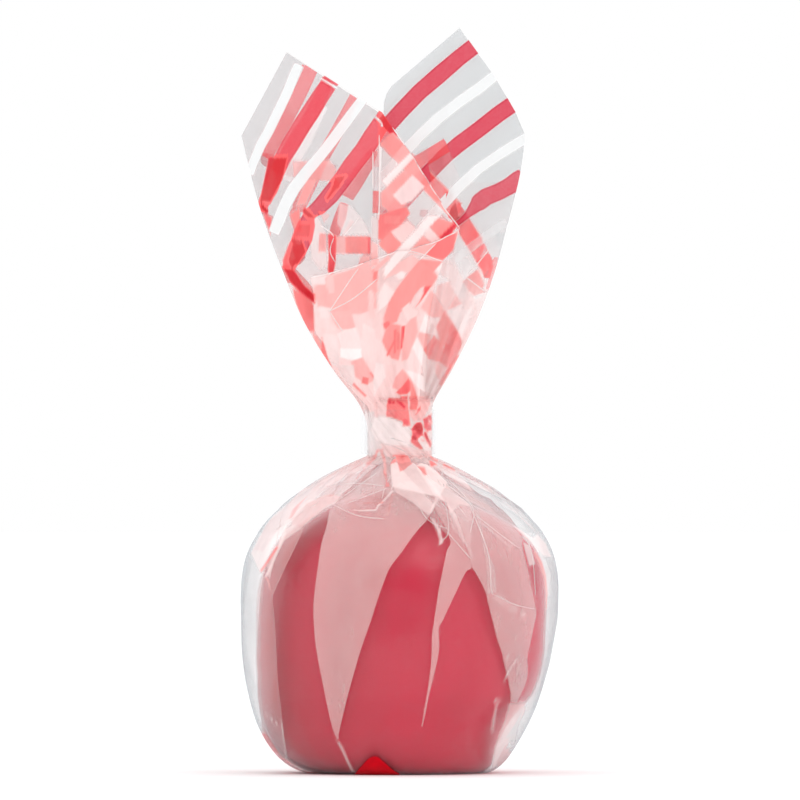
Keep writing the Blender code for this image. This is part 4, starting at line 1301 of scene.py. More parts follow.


# Patches of gathered and folded film in the fan, as they show from the front. Their grey is painted shade on folds and
# facets.
FAN_PATCHES = (
    # Print on print at the notch and in the left lobe, and what shows through it.
    (0.95, 1.42, 0.0, ((-5.8, 166.6), (-4.4, 168.4), (-1.8, 164.6), (-0.4, 162.6), (-1.4, 161.9), (-3.2, 163.4),
        (-4.6, 164.8))),
    (0.94, 1.34, 0.0, ((-16.6, 152), (-13.4, 152.6), (-15.4, 149.2), (-18.6, 145.6), (-19, 146.6), (-17.4, 149.4))),
    (0.97, 1.42, 0.0, ((-24.8, 143.9), (-24.2, 144.4), (-21.5, 141.6), (-21.6, 140.8), (-23.4, 141.3),
        (-24.8, 142.6))),
    (0.94, 1.26, 0.0, ((-26.4, 140.2), (-21.4, 140.2), (-23.2, 136.2), (-27.6, 136.4))),
    (0.75, 0.75, 0.0, ((-28.1, 142.4), (-25.6, 144.2), (-25.4, 140.4), (-26.6, 138.2))),
    (0.80, 0.60, 0.0, ((-23.6, 152), (-20.8, 152), (-23.9, 145), (-26.6, 144.4))),
    (0.97, 1.45, 0.0, ((-33.4, 157.1), (-28.6, 157.1), (-29.8, 151.5), (-33, 145), (-35.8, 145.8))),
    (0.95, 1.50, 0.0, ((-35.8, 146.2), (-33.4, 143.4), (-33.8, 142.2), (-35.4, 143.4))),
    (0.85, 1.00, 0.0, ((-35, 142.6), (-32.6, 141.8), (-33, 136.9))),
    (0.55, 0.55, 0.0, ((-27.4, 155.9), (-18, 156.3), (-16, 153.9), (-17.5, 150.8), (-27, 151.3))),
    (0.96, 1.42, 0.0, ((-27.6, 136.4), (-25, 136), (-23.9, 133), (-25.6, 130), (-27.6, 128.4), (-28.6, 130.4))),
    (0.90, 0.85, 0.0, ((-30.2, 130), (-28.2, 135.4), (-27.4, 135), (-28.6, 130.2))),
    # Down the left side below it.
    (0.97, 1.45, 0.0, ((-29.9, 128.9), (-27.2, 128.5), (-24.5, 124.5), (-21.9, 122), (-21.8, 119.6), (-25.2, 122.3),
        (-27.9, 125))),
    (0.85, 0.90, 0.0, ((-27.3, 123.6), (-25.2, 122.3), (-22.1, 119.6), (-21.9, 112.5), (-23.6, 112.6),
        (-26.9, 120.8))),
    (0.80, 0.60, 0.0, ((-22.4, 112.8), (-20.8, 111), (-17.4, 103.7), (-18.2, 103.2), (-21.5, 108.2))),
    # Through the flap.
    (0.70, 0.72, 0.0, ((-5.2, 160.3), (-2.8, 163), (-1.7, 163.2), (15.8, 145.2), (13.8, 141.4), (11.9, 142.4))),
    (0.72, 0.60, 0.0, ((-4.8, 148), (4.5, 157), (7.5, 153.8), (1.5, 144.8), (-1.5, 141.8), (-4.8, 144.6))),
    (0.78, 0.85, 0.0, ((-5.6, 142.2), (1.7, 144.4), (2.6, 142.6), (-3.2, 135.3), (-5.6, 136.1))),
    (0.80, 0.04, 0.0, ((-4.6, 151), (2.6, 158), (3.6, 156.9), (-3.4, 149.4))),
    (0.75, 0.10, 0.0, ((-1.8, 147.2), (3.2, 152.4), (6.3, 149.4), (3.0, 145.8), (0.4, 144.8))),
    (0.95, 1.45, 0.0, ((13, 144.2), (14.2, 145.6), (15.2, 141.8), (14.2, 140.1), (12.2, 141.8))),
    (0.90, 1.25, 0.0, ((10.2, 138.5), (14.4, 141), (14.4, 139.3), (12.2, 136.1))),
    # Left, at the cuff and below it.
    (0.78, 0.50, 0.0, ((-21.8, 125.6), (-14, 127.8), (-8, 130), (-6.2, 127), (-6, 118.4), (-10, 117), (-18, 117),
        (-21, 119))),
    (0.85, 0.40, 0.0, ((-18.9, 126.6), (-16.8, 126.9), (-16.8, 122.4), (-18.2, 122.2), (-19, 124.5))),
    (0.85, 0.50, 0.0, ((-22.3, 124), (-20.3, 123.8), (-19.3, 119.5), (-21, 119.3))),
    (0.60, 0.12, 0.15, ((-22.9, 126.4), (-19, 127.2), (-19.2, 124.5), (-22, 124.6))),
    (0.60, 0.12, 0.15, ((-20.5, 119), (-17.5, 118.4), (-17.6, 116), (-20, 116.2))),
    (0.85, 0.35, 0.0, ((-8, 116), (-8, 123), (-6.6, 123), (-6.6, 116))),
    (0.85, 0.80, 0.0, ((-6.8, 125.2), (-6.9, 128.2), (-5.8, 128.9), (-5.6, 127.8), (-5.8, 125.3))),
    (0.85, 0.55, 0.0, ((-6.9, 122.5), (-5.7, 122.5), (-5.9, 125), (-6.8, 125))),
    (0.85, 0.50, 0.0, ((-6.9, 128.4), (-6.2, 127.6), (-2.6, 131), (-3, 132))),
    # Above the cuff, on the left of the side fold.
    (0.55, 0.14, 0.0, ((-22.5, 141), (-21, 142), (-19.5, 139), (-18.6, 134), (-18.6, 129), (-20.5, 128.3),
        (-22.5, 131), (-23, 136))),
    (0.45, 0.48, 0.0, ((-20.6, 143), (-17.5, 142.5), (-19.3, 140))),
    (0.45, 0.12, 0.0, ((-15.5, 145.5), (-12.5, 144.5), (-9.8, 141.5), (-7.6, 137.2), (-14.5, 137.2), (-16, 140))),
    (0.60, 0.30, 0.0, ((-14.6, 137.4), (-12.6, 141), (-11.4, 140.6), (-13.6, 137.2))),
    (0.40, 0.20, 0.0, ((-7.4, 142), (-5.7, 141.4), (-5.7, 136), (-7.4, 136))),
    (0.75, 0.48, 0.0, ((-7.4, 135.6), (-5.6, 134.6), (-5.6, 129.4), (-7.4, 129))),
    (0.80, 0.74, 0.0, ((-16.3, 132.3), (-16.3, 136.9), (-8, 136.9), (-8, 132.3))),
    (0.70, 0.52, 0.0, ((-16.3, 132.3), (-16.3, 136.9), (-13.9, 136.9), (-13.9, 132.3))),
    (0.85, 1.20, 0.0, ((-8.1, 132.5), (-8.1, 136.7), (-7.6, 136.7), (-7.6, 132.5))),
    (0.90, 1.15, 0.0, ((-18.4, 137.6), (-16.3, 137.0), (-16.3, 130.5), (-17.0, 127.2), (-18.4, 127.4),
        (-18.2, 132.0))),
    (0.70, 0.45, 0.0, ((-10.3, 126.7), (-7.7, 127.4), (-7.7, 132), (-10.3, 131.6))),
    (0.75, 0.62, 0.0, ((-20.8, 132.8), (-20.6, 137.6), (-18.8, 137.6), (-18.8, 132.8))),
    # The flap and what lies behind it.
    (0.80, 0.75, 0.0, ((-4, 140), (-4, 142), (0, 142), (0, 140))),
    (0.85, 0.72, 0.0, ((-5.4, 135), (-2.6, 137.9), (0.6, 134.8), (-1.2, 132.9), (-3, 132.2), (-5.2, 134.4))),
    (0.85, 0.28, 0.0, ((-2.4, 137.9), (1.9, 140.8), (4, 138.8), (0.5, 134.9))),
    (0.90, 0.10, 0.0, ((1.3, 135.6), (4.5, 138.9), (7, 142), (10, 142), (7.6, 139.2), (5.8, 137.1), (2.2, 133),
        (-0.5, 129.9), (-4, 126), (-4.2, 128.5), (-1.5, 132.2))),
    (0.85, 0.25, 0.0, ((6, 137.1), (7.6, 139), (10.3, 136.1), (8.1, 135.1))),
    (0.85, 0.55, 0.0, ((2.3, 132.9), (5.9, 137), (8, 135.1), (5, 134.2))),
    (0.85, 0.50, 0.0, ((2.2, 132.8), (5, 134.1), (9, 135.3), (6.4, 132))),
    (0.85, 0.70, 0.0, ((7.6, 139.2), (9.8, 141.5), (13.9, 140), (10.3, 136))),
    (0.90, 1.30, 0.0, ((10.1, 136.5), (10.7, 135.9), (14.1, 139.3), (13.5, 139.9))),
    (0.95, 1.50, 0.0, ((14, 140), (15, 141.9), (19, 142), (16.9, 141.6), (15, 139.4))),
    (0.88, 0.90, 0.0, ((9, 135.2), (14.6, 137.9), (13.6, 133), (12.2, 131.8), (10.8, 130.7), (8, 131.4),
        (6.6, 132))),
    (0.85, 0.70, 0.0, ((5, 131), (10.8, 130.4), (8.5, 127.6), (5.5, 128.5))),
    # Below the cuff's edge, in the middle.
    (0.85, 0.42, 0.0, ((-4, 126), (-0.2, 130.2), (3, 131.9), (5.2, 130.5), (4.4, 127), (1.2, 127.6), (-1.5, 127))),
    (0.88, 0.68, 0.0, ((4.9, 130.6), (8.6, 127.8), (9.6, 126.5), (8.2, 124), (6.2, 124.1), (5.2, 123.6), (3.9, 122),
        (2.7, 119.8), (1.2, 118.6), (0, 117.2), (-0.8, 115), (-4, 113.8), (-4.2, 116), (-3, 119.8), (-1.4, 122.7),
        (0.4, 125.2), (1.8, 127), (3.5, 129))),
    (0.85, 0.12, 0.0, ((-1.4, 126.8), (0.4, 128), (1.5, 127.4), (0.9, 126), (-0.5, 125.8))),
    (0.85, 0.14, 0.0, ((-4, 125.3), (-1.3, 122.8), (-3.2, 119.6), (-5.6, 117.5), (-5.6, 121.5))),
    (0.90, 1.05, 0.0, ((4, 118.8), (5, 120.2), (6, 122.2), (6.2, 124), (8, 124.1), (6.8, 122.4), (5.4, 120.4))),
    (0.85, 0.25, 0.0, ((0.4, 118.3), (2.3, 119.9), (3.2, 118.6), (4.4, 117.8), (4.4, 115), (2, 115))),
    # Right, between the flap and the side fold.
    (0.90, 0.05, 0.0, ((9.2, 128.4), (11, 130.3), (13.4, 131), (15, 127.5), (19.5, 118), (18.5, 116), (17.5, 116),
        (14.6, 121.6), (12.4, 125.8), (10.2, 127.2))),
    (0.30, 0.05, 0.12, ((14, 131.5), (15.6, 127.5), (19.3, 120.5), (21.0, 121.5), (19.5, 126), (17.5, 131.5))),
    (0.85, 0.30, 0.0, ((9.5, 124.3), (12.6, 125.3), (14.2, 122), (11.7, 117.8), (9, 122))),
    (0.85, 0.45, 0.0, ((14.3, 122.1), (15.8, 119.5), (11.8, 117.6))),
    (0.85, 0.50, 0.0, ((7.8, 122.9), (9, 122), (11.6, 117.6), (12.2, 116), (8, 116), (6.6, 117.4), (5.3, 118.6))),
    (0.75, 0.55, 0.0, ((16, 125.2), (17, 126.2), (22, 122.6), (19, 121.5), (17.6, 122.7))),
    (0.80, 0.70, 0.0, ((17, 126.3), (19.8, 128.4), (20.6, 127), (21.6, 124.5), (21, 123.3))),
    (0.88, 0.88, 0.0, ((15.1, 137.2), (16, 140), (17.4, 141.4), (18.5, 140), (21.2, 136), (18, 132.7))),
    (0.80, 0.70, 0.0, ((18, 132.7), (21.2, 135.5), (22, 134), (19.7, 129.6))),
    (0.90, 1.00, 0.0, ((19.8, 129.4), (22, 132.8), (22, 126))),
    # Lower left.
    (0.85, 0.48, 0.0, ((-18, 117.5), (-16.8, 114.6), (-15.6, 113.3), (-13, 113), (-11.3, 113.6), (-12.5, 118))),
    (0.85, 0.12, 0.0, ((-14, 113), (-11.2, 113.5), (-9.8, 110), (-9.7, 108.3), (-15, 108.3), (-16, 112))),
    (0.95, 0.00, 0.0, ((-15.3, 108.3), (-9.8, 108.2), (-9.6, 105.6), (-12.7, 105.3), (-15.2, 106))),
    (0.85, 0.22, 0.0, ((-9.4, 114.8), (-6.5, 113), (-6.2, 110.8), (-4.6, 110), (-3.6, 107), (-4.5, 104.5), (-6, 104),
        (-9.6, 106), (-9.8, 109))),
    (0.85, 0.90, 0.0, ((-4.4, 114.5), (-3, 115.2), (-2.4, 114.2), (-3.8, 112.9))),
    (0.88, 0.68, 0.0, ((-4.6, 110), (-3.8, 112.8), (-2.3, 114.6), (0.2, 114.1), (0.3, 108), (-0.4, 105.2),
        (-2.2, 105.7), (-3.4, 107.5))),
    (0.88, 0.90, 0.0, ((-1.5, 113), (-0.9, 113), (-1.1, 107), (-1.5, 107))),
    (0.88, 0.90, 0.0, ((-0.6, 112.4), (-0.2, 112), (-0.3, 108), (-0.7, 108))),
    (0.88, 0.90, 0.0, ((-3.5, 106.6), (-3.1, 106.2), (-1.0, 110.2), (-1.4, 110.6))),
    (0.90, 1.15, 0.0, ((0.5, 113.9), (1.3, 113.9), (0.6, 108.2), (0.2, 108.2))),
    (0.85, 0.50, 0.0, ((1.6, 114.2), (2.6, 115.6), (4.2, 116.5), (4.6, 112.4), (3, 108.5), (2, 105.5), (0.4, 105),
        (0.5, 108))),
    (0.85, 0.50, 0.0, ((-9.6, 106), (-6.2, 100.4), (-8.4, 99), (-11.5, 101), (-12.5, 104.8))),
    (0.85, 0.85, 0.0, ((-9.8, 99.4), (-9.4, 101), (-8, 100.6), (-8.2, 99))),
    (0.85, 0.75, 0.0, ((-7.8, 102), (-7.4, 102.2), (-6.1, 100.6), (-6.5, 100.2))),
    (0.85, 0.75, 0.0, ((-12.2, 99), (-11.8, 99.5), (-8.5, 96.2), (-8.9, 95.8))),
    (0.70, 0.12, 0.14, ((-16, 104), (-11.8, 104), (-11.5, 100.6), (-12.4, 98), (-15, 100.6))),
    (0.70, 0.12, 0.14, ((-19.5, 112), (-16, 111.5), (-15.4, 106), (-15.5, 103.3), (-17.5, 104), (-18.8, 107))),
    (0.85, 0.90, 0.0, ((-20, 111), (-19.6, 110), (-18.3, 105.5), (-17.2, 103.2), (-20, 107.3))),
    (0.85, 0.12, 0.0, ((-6.2, 104.6), (-4.2, 104.2), (-3.6, 101), (-5.6, 98), (-6.6, 96), (-6.8, 100))),
    (0.85, 0.30, 0.0, ((-3.5, 98.5), (-3.5, 104), (-1, 104), (-1, 98.5))),
    (0.85, 0.55, 0.0, ((0.6, 103), (2.5, 100.8), (1.6, 99.8), (-0.2, 97.6), (-2, 98.2), (-1.2, 100.8))),
    (0.90, 0.98, 0.0, ((2.2, 100.6), (3.2, 98.6), (2.6, 97.4), (1.8, 96.6), (0, 96.4), (-1, 97), (0.4, 98.4))),
    (0.85, 0.70, 0.0, ((2.5, 100.9), (3.4, 99), (4.2, 96.5), (4.4, 94), (2.6, 94), (2.6, 97))),
    (0.90, 1.10, 0.0, ((0.2, 94.2), (0.2, 96), (1.9, 96), (1.9, 94.2))),
    # Lower right.
    (0.85, 0.08, 0.0, ((6.4, 117.2), (9.2, 112.8), (9.3, 111.7), (7.5, 111.7), (5, 112.6))),
    (0.90, 0.08, 0.0, ((4.4, 111.2), (6.3, 107.3), (8.6, 103.4), (9.8, 101.2), (10.2, 99.4), (9.6, 98.3),
        (8.6, 96.5), (6, 97.2), (4.2, 98.5), (1.4, 102.8), (4, 102.1), (6, 101.2), (5.6, 103.6), (4.7, 105.3),
        (3.1, 108.3))),
    (0.85, 0.22, 0.0, ((3.2, 107.6), (4.8, 105.1), (6, 101.7), (3.2, 102.6), (0.8, 103.3), (2, 105.5))),
    (0.85, 0.50, 0.0, ((4.4, 111.4), (5, 112.5), (8, 111.6), (7.4, 109), (6.2, 107.4))),
    (0.85, 0.80, 0.0, ((6.1, 107.9), (8.6, 111.4), (10.2, 110), (11.4, 107.6), (12.9, 105), (9.5, 104.8),
        (7.2, 105.5))),
    (0.88, 0.95, 0.0, ((7.3, 106.4), (7.9, 108.6), (9.1, 110.4), (9.5, 110), (8.7, 108.2), (8.3, 106.2))),
    (0.85, 0.72, 0.0, ((9.2, 113.7), (11.4, 117.9), (13.2, 115), (12, 109), (10.5, 108.5))),
    (0.88, 0.90, 0.0, ((13.2, 115), (14.8, 112.6), (15.8, 109.9), (15.6, 108.6), (14.6, 106.6), (12.8, 103.6),
        (11.9, 103.2), (9.8, 105), (11.2, 108))),
    (0.90, 1.00, 0.0, ((11.2, 107.2), (11.6, 109), (12.8, 109.4), (12.8, 107.4))),
    (0.85, 0.45, 0.0, ((9.3, 104.8), (12, 103.2), (10, 99.8), (9, 102))),
    (0.88, 0.90, 0.0, ((9.9, 99.2), (10.6, 98.6), (13.8, 104.2), (15.1, 106.2), (14.5, 106.6), (13.0, 104.6))),
    (0.60, 0.08, 0.12, ((12, 118), (18.5, 118), (15.8, 111), (14.6, 113))),
)

# Fine bright lines on the body's film: partly film whitened where it is creased, partly painted highlight where the
# folds catch the light.
BODY_CREASE_WHITENING_AND_GLINTS = (
    # From the neck down the swath and over the shoulder.
    ((10.5, 76.9), (11.6, 69), (12.3, 62), (10.1, 59)),
    ((1.4, 75.1), (6.6, 65.5), (12.3, 62.5)),
    ((11.9, 75.6), (18.4, 68.1), (17.9, 61.6)),
    ((17.9, 68.1), (22.3, 56.8), (23.2, 47.2), (24, 45.9)),
    ((18.8, 66.4), (28.8, 58.6), (30.6, 57.7)),
    ((24, 45.9), (29, 43.4), (34.5, 42)),
    ((11.9, 62), (17.9, 55.1)),
    ((31.4, 61.2), (33.6, 56), (34.5, 45.5)),
    ((-16.9, 69), (-5.6, 76.9)),
    ((-30, 66.4), (-33.1, 49.9)),
    ((-22.2, 72.5), (-12, 74), (-3.9, 73.4)),
    ((-31.8, 62), (-19.6, 69.9)),
    ((-13.5, 69), (-3, 73)),
    ((-16.9, 68.6), (-10.8, 66), (-3.9, 65.1)),
    ((-1.3, 76), (-2.6, 70.8)),
    ((9.2, 75.1), (13.6, 72.5), (17.9, 69)),
    ((1.4, 76), (10.1, 68.1)),
    ((4, 76.9), (14.4, 64.7)),
    ((7.5, 77.3), (17, 65.5)),
    # Round the neck.
    ((-6.3, 94.8), (-7.4, 93), (-7.6, 90)),
    ((-3.9, 90.8), (-0.2, 89.8), (2.9, 87.5)),
    ((7.2, 91.8), (4.9, 90.5), (2.9, 87.8)),
    ((-5.6, 85.4), (-1.2, 85.1), (3.5, 83), (7.4, 79.7)),
    ((-5.2, 84.1), (-0.2, 82.7), (6.2, 78.3)),
    ((-7.2, 85.1), (-5.6, 81), (-8.6, 78)),
    ((-4.6, 82.4), (-2.9, 79.7), (-1.9, 78)),
    ((-7.4, 80.7), (-12, 78.3)),
    ((7.4, 80.3), (10.3, 78.3), (11.3, 72.9)),
    ((-0.9, 78.3), (-3.6, 73.6), (-4.6, 70.2)),
    ((4.5, 85.1), (6.2, 83.7), (7.4, 81)),
)


class ADD_OT_fan_film(bpy.types.Operator):
    """Lays the leaves of the spread mouth, front to back"""

    bl_idname = "toffee_apple.add_fan_film"
    bl_label = "Fan Film"

    def execute(self, context):
        for order, (name, shape) in enumerate(LEAVES.items()):
            stand_for_bag(lay_leaf(f"fan_{name}", order, shape))
        stand_for_bag(lay_creases("fan_creases_and_glints", CREASE_WHITENING_AND_GLINTS))
        stand_for_bag(lay_creases("body_creases_and_glints", BODY_CREASE_WHITENING_AND_GLINTS, half_width=0.10, haze=0.42, on_body=True))
        return {"FINISHED"}


def inside(flat, stripes):
    """How far inside the nearest stripe each point is (negative outside), and how strong its ink is."""
    x, z = flat[..., 0], flat[..., 1]
    deepest = np.full(x.shape, -50.0)
    strength = np.zeros(x.shape)
    for ink, run in stripes:
        here = np.full(x.shape, -50.0)
        for step, ((xa, za, wide_a), (xb, zb, wide_b)) in enumerate(zip(run, run[1:])):
            long = hypot(xb - xa, zb - za)
            along = ((x - xa) * (xb - xa) + (z - za) * (zb - za)) / long
            across = np.abs((x - xa) * (zb - za) - (z - za) * (xb - xa)) / long
            wide = wide_a + (wide_b - wide_a) * np.clip(along / long, 0, 1)
            past = along - np.clip(along, 0, long)
            depth = wide - np.hypot(across, past)
            here = np.maximum(here, depth)
            if step == 0:
                start_cut = np.where(along < long, along, 50.0)
            end_cut = np.where(along > 0, long - along, 50.0)
        here = np.minimum(here, np.minimum(start_cut, end_cut))
        nearer = here > deepest
        deepest = np.where(nearer, here, deepest)
        strength = np.where(nearer, ink, strength)
    return deepest, strength


def lay_leaf(name, order, shape):
    """One leaf of the fan, from the neck up to its cut edge."""
    width = np.linalg.norm(np.diff(np.array(shape["top"], float), axis=0), axis=1).sum()
    rows = 150
    columns = max(8, ceil(width / shape.get("spacing", 0.6)))
    top = with_corners(shape["top"], columns)
    left = smoothly(shape["left"][::-1], rows)
    right = smoothly(shape["right"][::-1], rows)
    flat = fill(evenly([left[0], right[0]], columns), top, left, right)
    red, red_ink = inside(flat, shape.get("red", ()))
    white, white_ink = inside(flat, shape.get("white", ()))
    if "gap" in shape:
        gap, _ = inside(flat, shape["gap"])
        red = np.minimum(red, -gap)
        white_ink = np.where(gap > white, 0.8, white_ink)
        white = np.maximum(white, gap)
    depth_left, depth_right, depth_neck = shape["depth"]
    points = np.zeros((rows + 1, columns + 1, 3))
    film = np.zeros((rows + 1, columns + 1, 4))
    for i in range(rows + 1):
        up = i / rows
        spread = ease(0.0, 1.0, up)
        for j in range(columns + 1):
            across = j / columns
            x, z = flat[i, j]
            aside = x / 8.5 * (1 - up)
            neck = depth_neck * sqrt(max(1 - aside * aside, 0.0))
            spread_out = depth_left * (1 - across) + depth_right * across
            rounding = 2.2 * sin(pi * across) * spread * (-1) ** order
            ripple = (1 - up) ** 1.6 * shape.get("ripple", 0.5) * sin(2 * pi * (across * (7 + order % 3) + 0.37 * order))
            fold = 0.8 * crumple(x, z, 11.0, 3.7 * order) * (0.35 + 0.65 * ease(0.02, 0.4, 1 - up))
            y = neck * (1 - spread) + spread_out * spread + rounding + ripple + fold * ease(0, 0.15, up)
            points[i, j] = x, y, z
            milky = ease(0, 1, (138 - z) / 36)
            haze = shape["haze"] + (shape.get("flap_haze", shape["haze"]) - shape["haze"]) * ease(-7, -4, x)
            film[i, j, 0] = haze + (shape.get("low_haze", 2.2 * haze) - haze) * milky
            film[i, j, 1] = shape.get("grey", 0.0) * (1 - milky)
    film[..., 2] = red_ink
    film[..., 3] = white_ink
    if shape.get("painted"):
        blush = 0.27 * np.clip((150 - flat[..., 1]) / 12, 0.3, 1) + 0.25 * np.clip((flat[..., 1] - 146) / 6, 0, 1)
        paint(flat, film, blush, (*FAN_PATCHES, *NECK_PATCHES))
    else:
        # The blush is the print's patchwork, raised by a painted glow that gives the ink its lighter, lit colour.
        blush = np.maximum(facets(flat, order) * 0.8, shape.get("painted_glow", 0.0))
    # Where many layers scatter the light, the painted shade by slant is taken off all of them.
    film[..., 1] -= 0.35 * np.clip((138 - flat[..., 1]) / 36, 0.0, 1.0)
    return lay_film(name, points, np.stack([red, white], axis=-1), film, blush)


def facets(flat, order):
    """The patchwork of red print seen through gathered film: facets that fan out from the neck."""
    tint = np.zeros(flat.shape[:2])
    for spot in np.ndindex(tint.shape):
        x, z = flat[spot]
        away, turn = hypot(x, z - 74), atan2(x, z - 74)
        warp = 1.5 * noise.noise(Vector((x / 9, z / 9, order)))
        cell = noise.cell(Vector((turn * 11 + warp, away / 6.5 + 0.6 * warp, 5.3 * order)))
        tint[spot] = (0.10 + 0.55 * max(cell, 0.0)) * ease(146, 118, z)
    return tint


def lay_creases(name, runs, half_width=0.13, lift=0.06, haze=0.7, on_body=False):
    """Narrow raised folds on the body's film or on whatever leaf is foremost, seen from the front. Their milky white
    is partly creased film and partly painted highlight.
    """
    depsgraph = bpy.context.evaluated_depsgraph_get()
    laid = []
    for run in runs:
        long = sum(hypot(b[0] - a[0], b[1] - a[1]) for a, b in zip(run, run[1:]))
        middle = smoothly(run, max(6, ceil(long / 0.5)))
        ahead = np.gradient(middle, axis=0)
        ahead /= np.linalg.norm(ahead, axis=1)[:, None]
        aside = np.stack([-ahead[:, 1], ahead[:, 0]], axis=1)
        points = np.zeros((len(middle), 3, 3))
        before = None
        for i, (x, z) in enumerate(middle):
            if on_body:
                turn = turn_at(x, z)
                stands = gathers(turn, z) + slack(turn, z) + FOLD_STANDS * 0.9 + lift
                y = bulb_point(turn, z, stands)[1]
            else:
                found, where, *_ = bpy.context.scene.ray_cast(
                    depsgraph, Vector((x * MM, -0.2, z * MM)), Vector((0, 1, 0))
                )
                y = where.y / MM - lift if found else (before if before is not None else 0.0)
            before = y
            thin = half_width * min(1.0, 0.3 + 0.35 * min(i, len(middle) - 1 - i))
            for j, share in enumerate((-1, 0, 1)):
                points[i, j] = x + aside[i][0] * thin * share, y, z + aside[i][1] * thin * share
            points[i, 1, 1] -= 0.05
        film = np.zeros((len(middle), 3, 4))
        film[..., 0] = haze
        laid.append(lay_film(name, points, unprinted(points), film))
    return join(name, laid)


# ---------------------------------------------------------------------------- neck, tape and stage


class ADD_OT_neck_film(bpy.types.Operator):
    """Twists the gathered film of the neck into a ribbed rope"""

    bl_idname = "toffee_apple.add_neck_film"
    bl_label = "Neck Film"

    def execute(self, context):
        ropes = [lay_neck("neck_outer", 7.3, 0.55, 0.0), lay_neck("neck_inner", 5.6, 0.9, 1.3)]
        neck = join("film_neck", ropes)
        stand_for_bag(neck)
        return {"FINISHED"}


def lay_neck(name, radius, ridge, phase, rows=60, columns=220):
    points = np.zeros((rows + 1, columns + 1, 3))
    printed = np.zeros((rows + 1, columns + 1, 2))
    film = np.zeros((rows + 1, columns + 1, 4))
    for i in range(rows + 1):
        z = 78.5 + 15.0 * i / rows
        waist = radius * (1 - 0.06 * sin(pi * i / rows)) + 0.8 * ease(92.5, 96, z) + 1.2 * ease(82, 78.5, z)
        for j in range(columns + 1):
            turn = 2 * pi * j / columns
            twisted = turn + 0.075 * (z - 86) + phase
            pleat = 0.6 * abs(sin(8.5 * twisted)) + 0.4 * sin(21 * twisted + 2 * sin(3 * turn))
            out = waist + ridge * (pleat - 0.5)
            points[i, j] = out * sin(turn), -out * cos(turn), z
            stripe = 8.0 * noise.noise(Vector((sin(turn) * 0.9, cos(turn) * 0.9, z / 9 + phase)))
            stripe = abs((stripe + 0.8 * (z - 86) + 7 * turn) % 17.8 - 8.9)
            printed[i, j] = 2.25 - stripe, stripe - 7.5
            film[i, j] = 0.6, 0.0, 0.8, 0.9
    points[:, -1] = points[:, 0]
    made = lay_film(name, points, printed, film)
    close_seam(made)
    return made


class ADD_OT_neck_tape(bpy.types.Operator):
    """Gives the frame's ring of tape its clear finish"""

    bl_idname = "toffee_apple.finish_tape"
    bl_label = "Neck Tape"

    def execute(self, context):
        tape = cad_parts["neck_tape"]
        made = tape_material()
        for place in tape.material_slots:
            place.material = made
        return {"FINISHED"}


class ADD_OT_stage(bpy.types.Operator):
    """Sets the pale floor, the soft light and the camera"""

    bl_idname = "toffee_apple.add_stage"
    bl_label = "Stage"

    def execute(self, context):
        scene = context.scene
        settings = scene.stage
        low, high = CAD_BOX
        middle = Vector(((low[0] + high[0]) / 2, (low[1] + high[1]) / 2, (low[2] + high[2]) / 2))
        add_floor(settings)
        add_world(scene)
        add_lights(middle)
        add_camera(scene, settings, middle)
        return {"FINISHED"}


def add_floor(settings):
    bpy.ops.object.select_all(action="DESELECT")
    bpy.ops.mesh.primitive_plane_add(size=8.0, location=(0, 0, -0.0001))
    floor = bpy.context.object
    floor.name = "floor"
    made, tree, shader, _ = new_material("matt white paper, painted")
    # Paint mottling, a few cm across, so faint that it shows only as a surface that isn't perfectly even.
    place = add_node(tree, "ShaderNodeTexCoord").outputs["Object"]
    mottle = add_node(tree, "ShaderNodeTexNoise", {"Vector": place, "Scale": 30.0}).outputs[0]
    pale = rgba(settings.floor_tone)
    shade = rgba([c * 0.985 for c in settings.floor_tone])
    tree.links.new(blend(tree, mottle, shade, pale), shader.inputs["Base Color"])
    shader.inputs["Roughness"].default_value = 0.9
    shader.inputs["Specular IOR Level"].default_value = 0.1
    floor.data.materials.append(made)


def add_world(scene):
    """White all round for the eye. For the light it gives, a white tent that is open at the camera."""
    world = bpy.data.worlds.new("studio")
    scene.world = world
    world.use_nodes = True
    tree = world.node_tree
    tree.nodes.clear()
    direction = add_node(tree, "ShaderNodeTexCoord").outputs["Generated"]
    split = add_node(tree, "ShaderNodeSeparateXYZ", {0: direction})
    walls = blend(tree, between(tree, split.outputs[2], -0.2, 0.9), (0.93, 0.93, 0.94, 1.0), (1.0, 1.0, 1.0, 1.0))
    opening = between(tree, split.outputs[1], -0.86, -0.98)
    tone = blend(tree, opening, walls, (0.30, 0.30, 0.31, 1.0))
    lit = add_node(tree, "ShaderNodeBackground", {"Color": tone, "Strength": 1.22})
    seen = add_node(tree, "ShaderNodeBackground", {"Color": (1.0, 1.0, 1.0, 1.0), "Strength": 1.0})
    eye = add_node(tree, "ShaderNodeLightPath").outputs["Is Camera Ray"]
    mixed = add_node(tree, "ShaderNodeMixShader", {0: eye, 1: lit.outputs[0], 2: seen.outputs[0]})
    output = add_node(tree, "ShaderNodeOutputWorld")
    tree.links.new(mixed.outputs[0], output.inputs["Surface"])


def add_lights(middle):
    for name, where, size, power in (
        ("key", (0.45, -0.85, 0.75), 0.6, 0.7),
        ("top", (0.1, 0.1, 1.3), 1.6, 1.2),
    ):
        light = bpy.data.lights.new(name, "AREA")
        light.size = size
        light.energy = power
        lamp = bpy.data.objects.new(name, light)
        bpy.context.scene.collection.objects.link(lamp)
        lamp.location = where
        lamp.rotation_euler = (middle - Vector(where)).to_track_quat("-Z", "Y").to_euler()


def add_camera(scene, settings, middle):
    camera = bpy.data.cameras.new("camera")
    camera.sensor_width = 36.0
    camera.lens = camera.sensor_width * settings.distance / settings.view_height
    camera.clip_start = 0.01
    made = bpy.data.objects.new("camera", camera)
    scene.collection.objects.link(made)
    tilt = radians(0.6)
    made.location = middle + settings.distance * Vector((0.0, -cos(tilt), sin(tilt)))
    made.rotation_euler = (middle - made.location).to_track_quat("-Z", "Y").to_euler()
    scene.camera = made


# ---------------------------------------------------------------------------- add-on


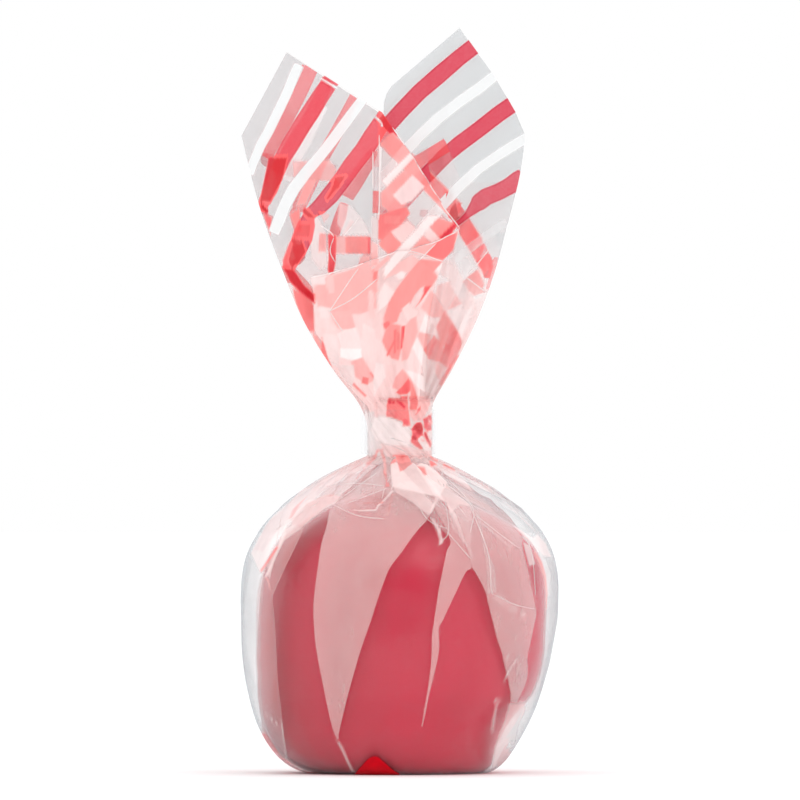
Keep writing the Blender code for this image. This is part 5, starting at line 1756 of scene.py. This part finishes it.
class VIEW3D_PT_toffee_apple(bpy.types.Panel):
    """Lists what can be added and the sizes and colours it takes"""

    bl_label = "Toffee Apple"
    bl_idname = "VIEW3D_PT_toffee_apple"
    bl_space_type = "VIEW_3D"
    bl_region_type = "UI"
    bl_category = "Toffee Apple"

    def draw(self, context):
        for title, holder in (
            ("Apple", "toffee_apple"),
            ("Film", "film"),
            ("Tape", "neck_tape"),
            ("Stage", "stage"),
        ):
            box = self.layout.box()
            box.label(text=title)
            settings = getattr(context.scene, holder)
            for key in settings.__annotations__:
                box.prop(settings, key)
        for operator in OPERATORS:
            self.layout.operator(operator.bl_idname)


OPERATORS = (
    ADD_OT_toffee_apple,
    ADD_OT_body_film,
    ADD_OT_body_pleats,
    ADD_OT_foot_drop,
    ADD_OT_neck_film,
    ADD_OT_fan_film,
    ADD_OT_neck_tape,
    ADD_OT_stage,
)
SETTINGS = {
    "toffee_apple": ToffeeAppleSettings,
    "film": FilmSettings,
    "neck_tape": NeckTapeSettings,
    "stage": StageSettings,
}


def register():
    for group in SETTINGS.values():
        bpy.utils.register_class(group)
    for holder, group in SETTINGS.items():
        setattr(bpy.types.Scene, holder, PointerProperty(type=group))
    for operator in OPERATORS:
        bpy.utils.register_class(operator)
    bpy.utils.register_class(VIEW3D_PT_toffee_apple)


def unregister():
    bpy.utils.unregister_class(VIEW3D_PT_toffee_apple)
    for operator in reversed(OPERATORS):
        bpy.utils.unregister_class(operator)
    for holder in SETTINGS:
        delattr(bpy.types.Scene, holder)
    for group in reversed(SETTINGS.values()):
        bpy.utils.unregister_class(group)


def main():
    register()
    scene = bpy.context.scene
    bpy.ops.object.select_all(action="DESELECT")
    scene.view_settings.view_transform = "Standard"
    # Each layer of film is passed twice, and there are many in the neck.
    scene.cycles.transparent_max_bounces = 96
    bpy.ops.toffee_apple.add_stage()
    bpy.ops.toffee_apple.add_apple()
    bpy.ops.toffee_apple.add_body_film()
    bpy.ops.toffee_apple.add_body_pleats()
    bpy.ops.toffee_apple.add_foot_drop()
    bpy.ops.toffee_apple.add_neck_film()
    bpy.ops.toffee_apple.add_fan_film()
    bpy.ops.toffee_apple.finish_tape()


if __name__ == "__main__":
    main()
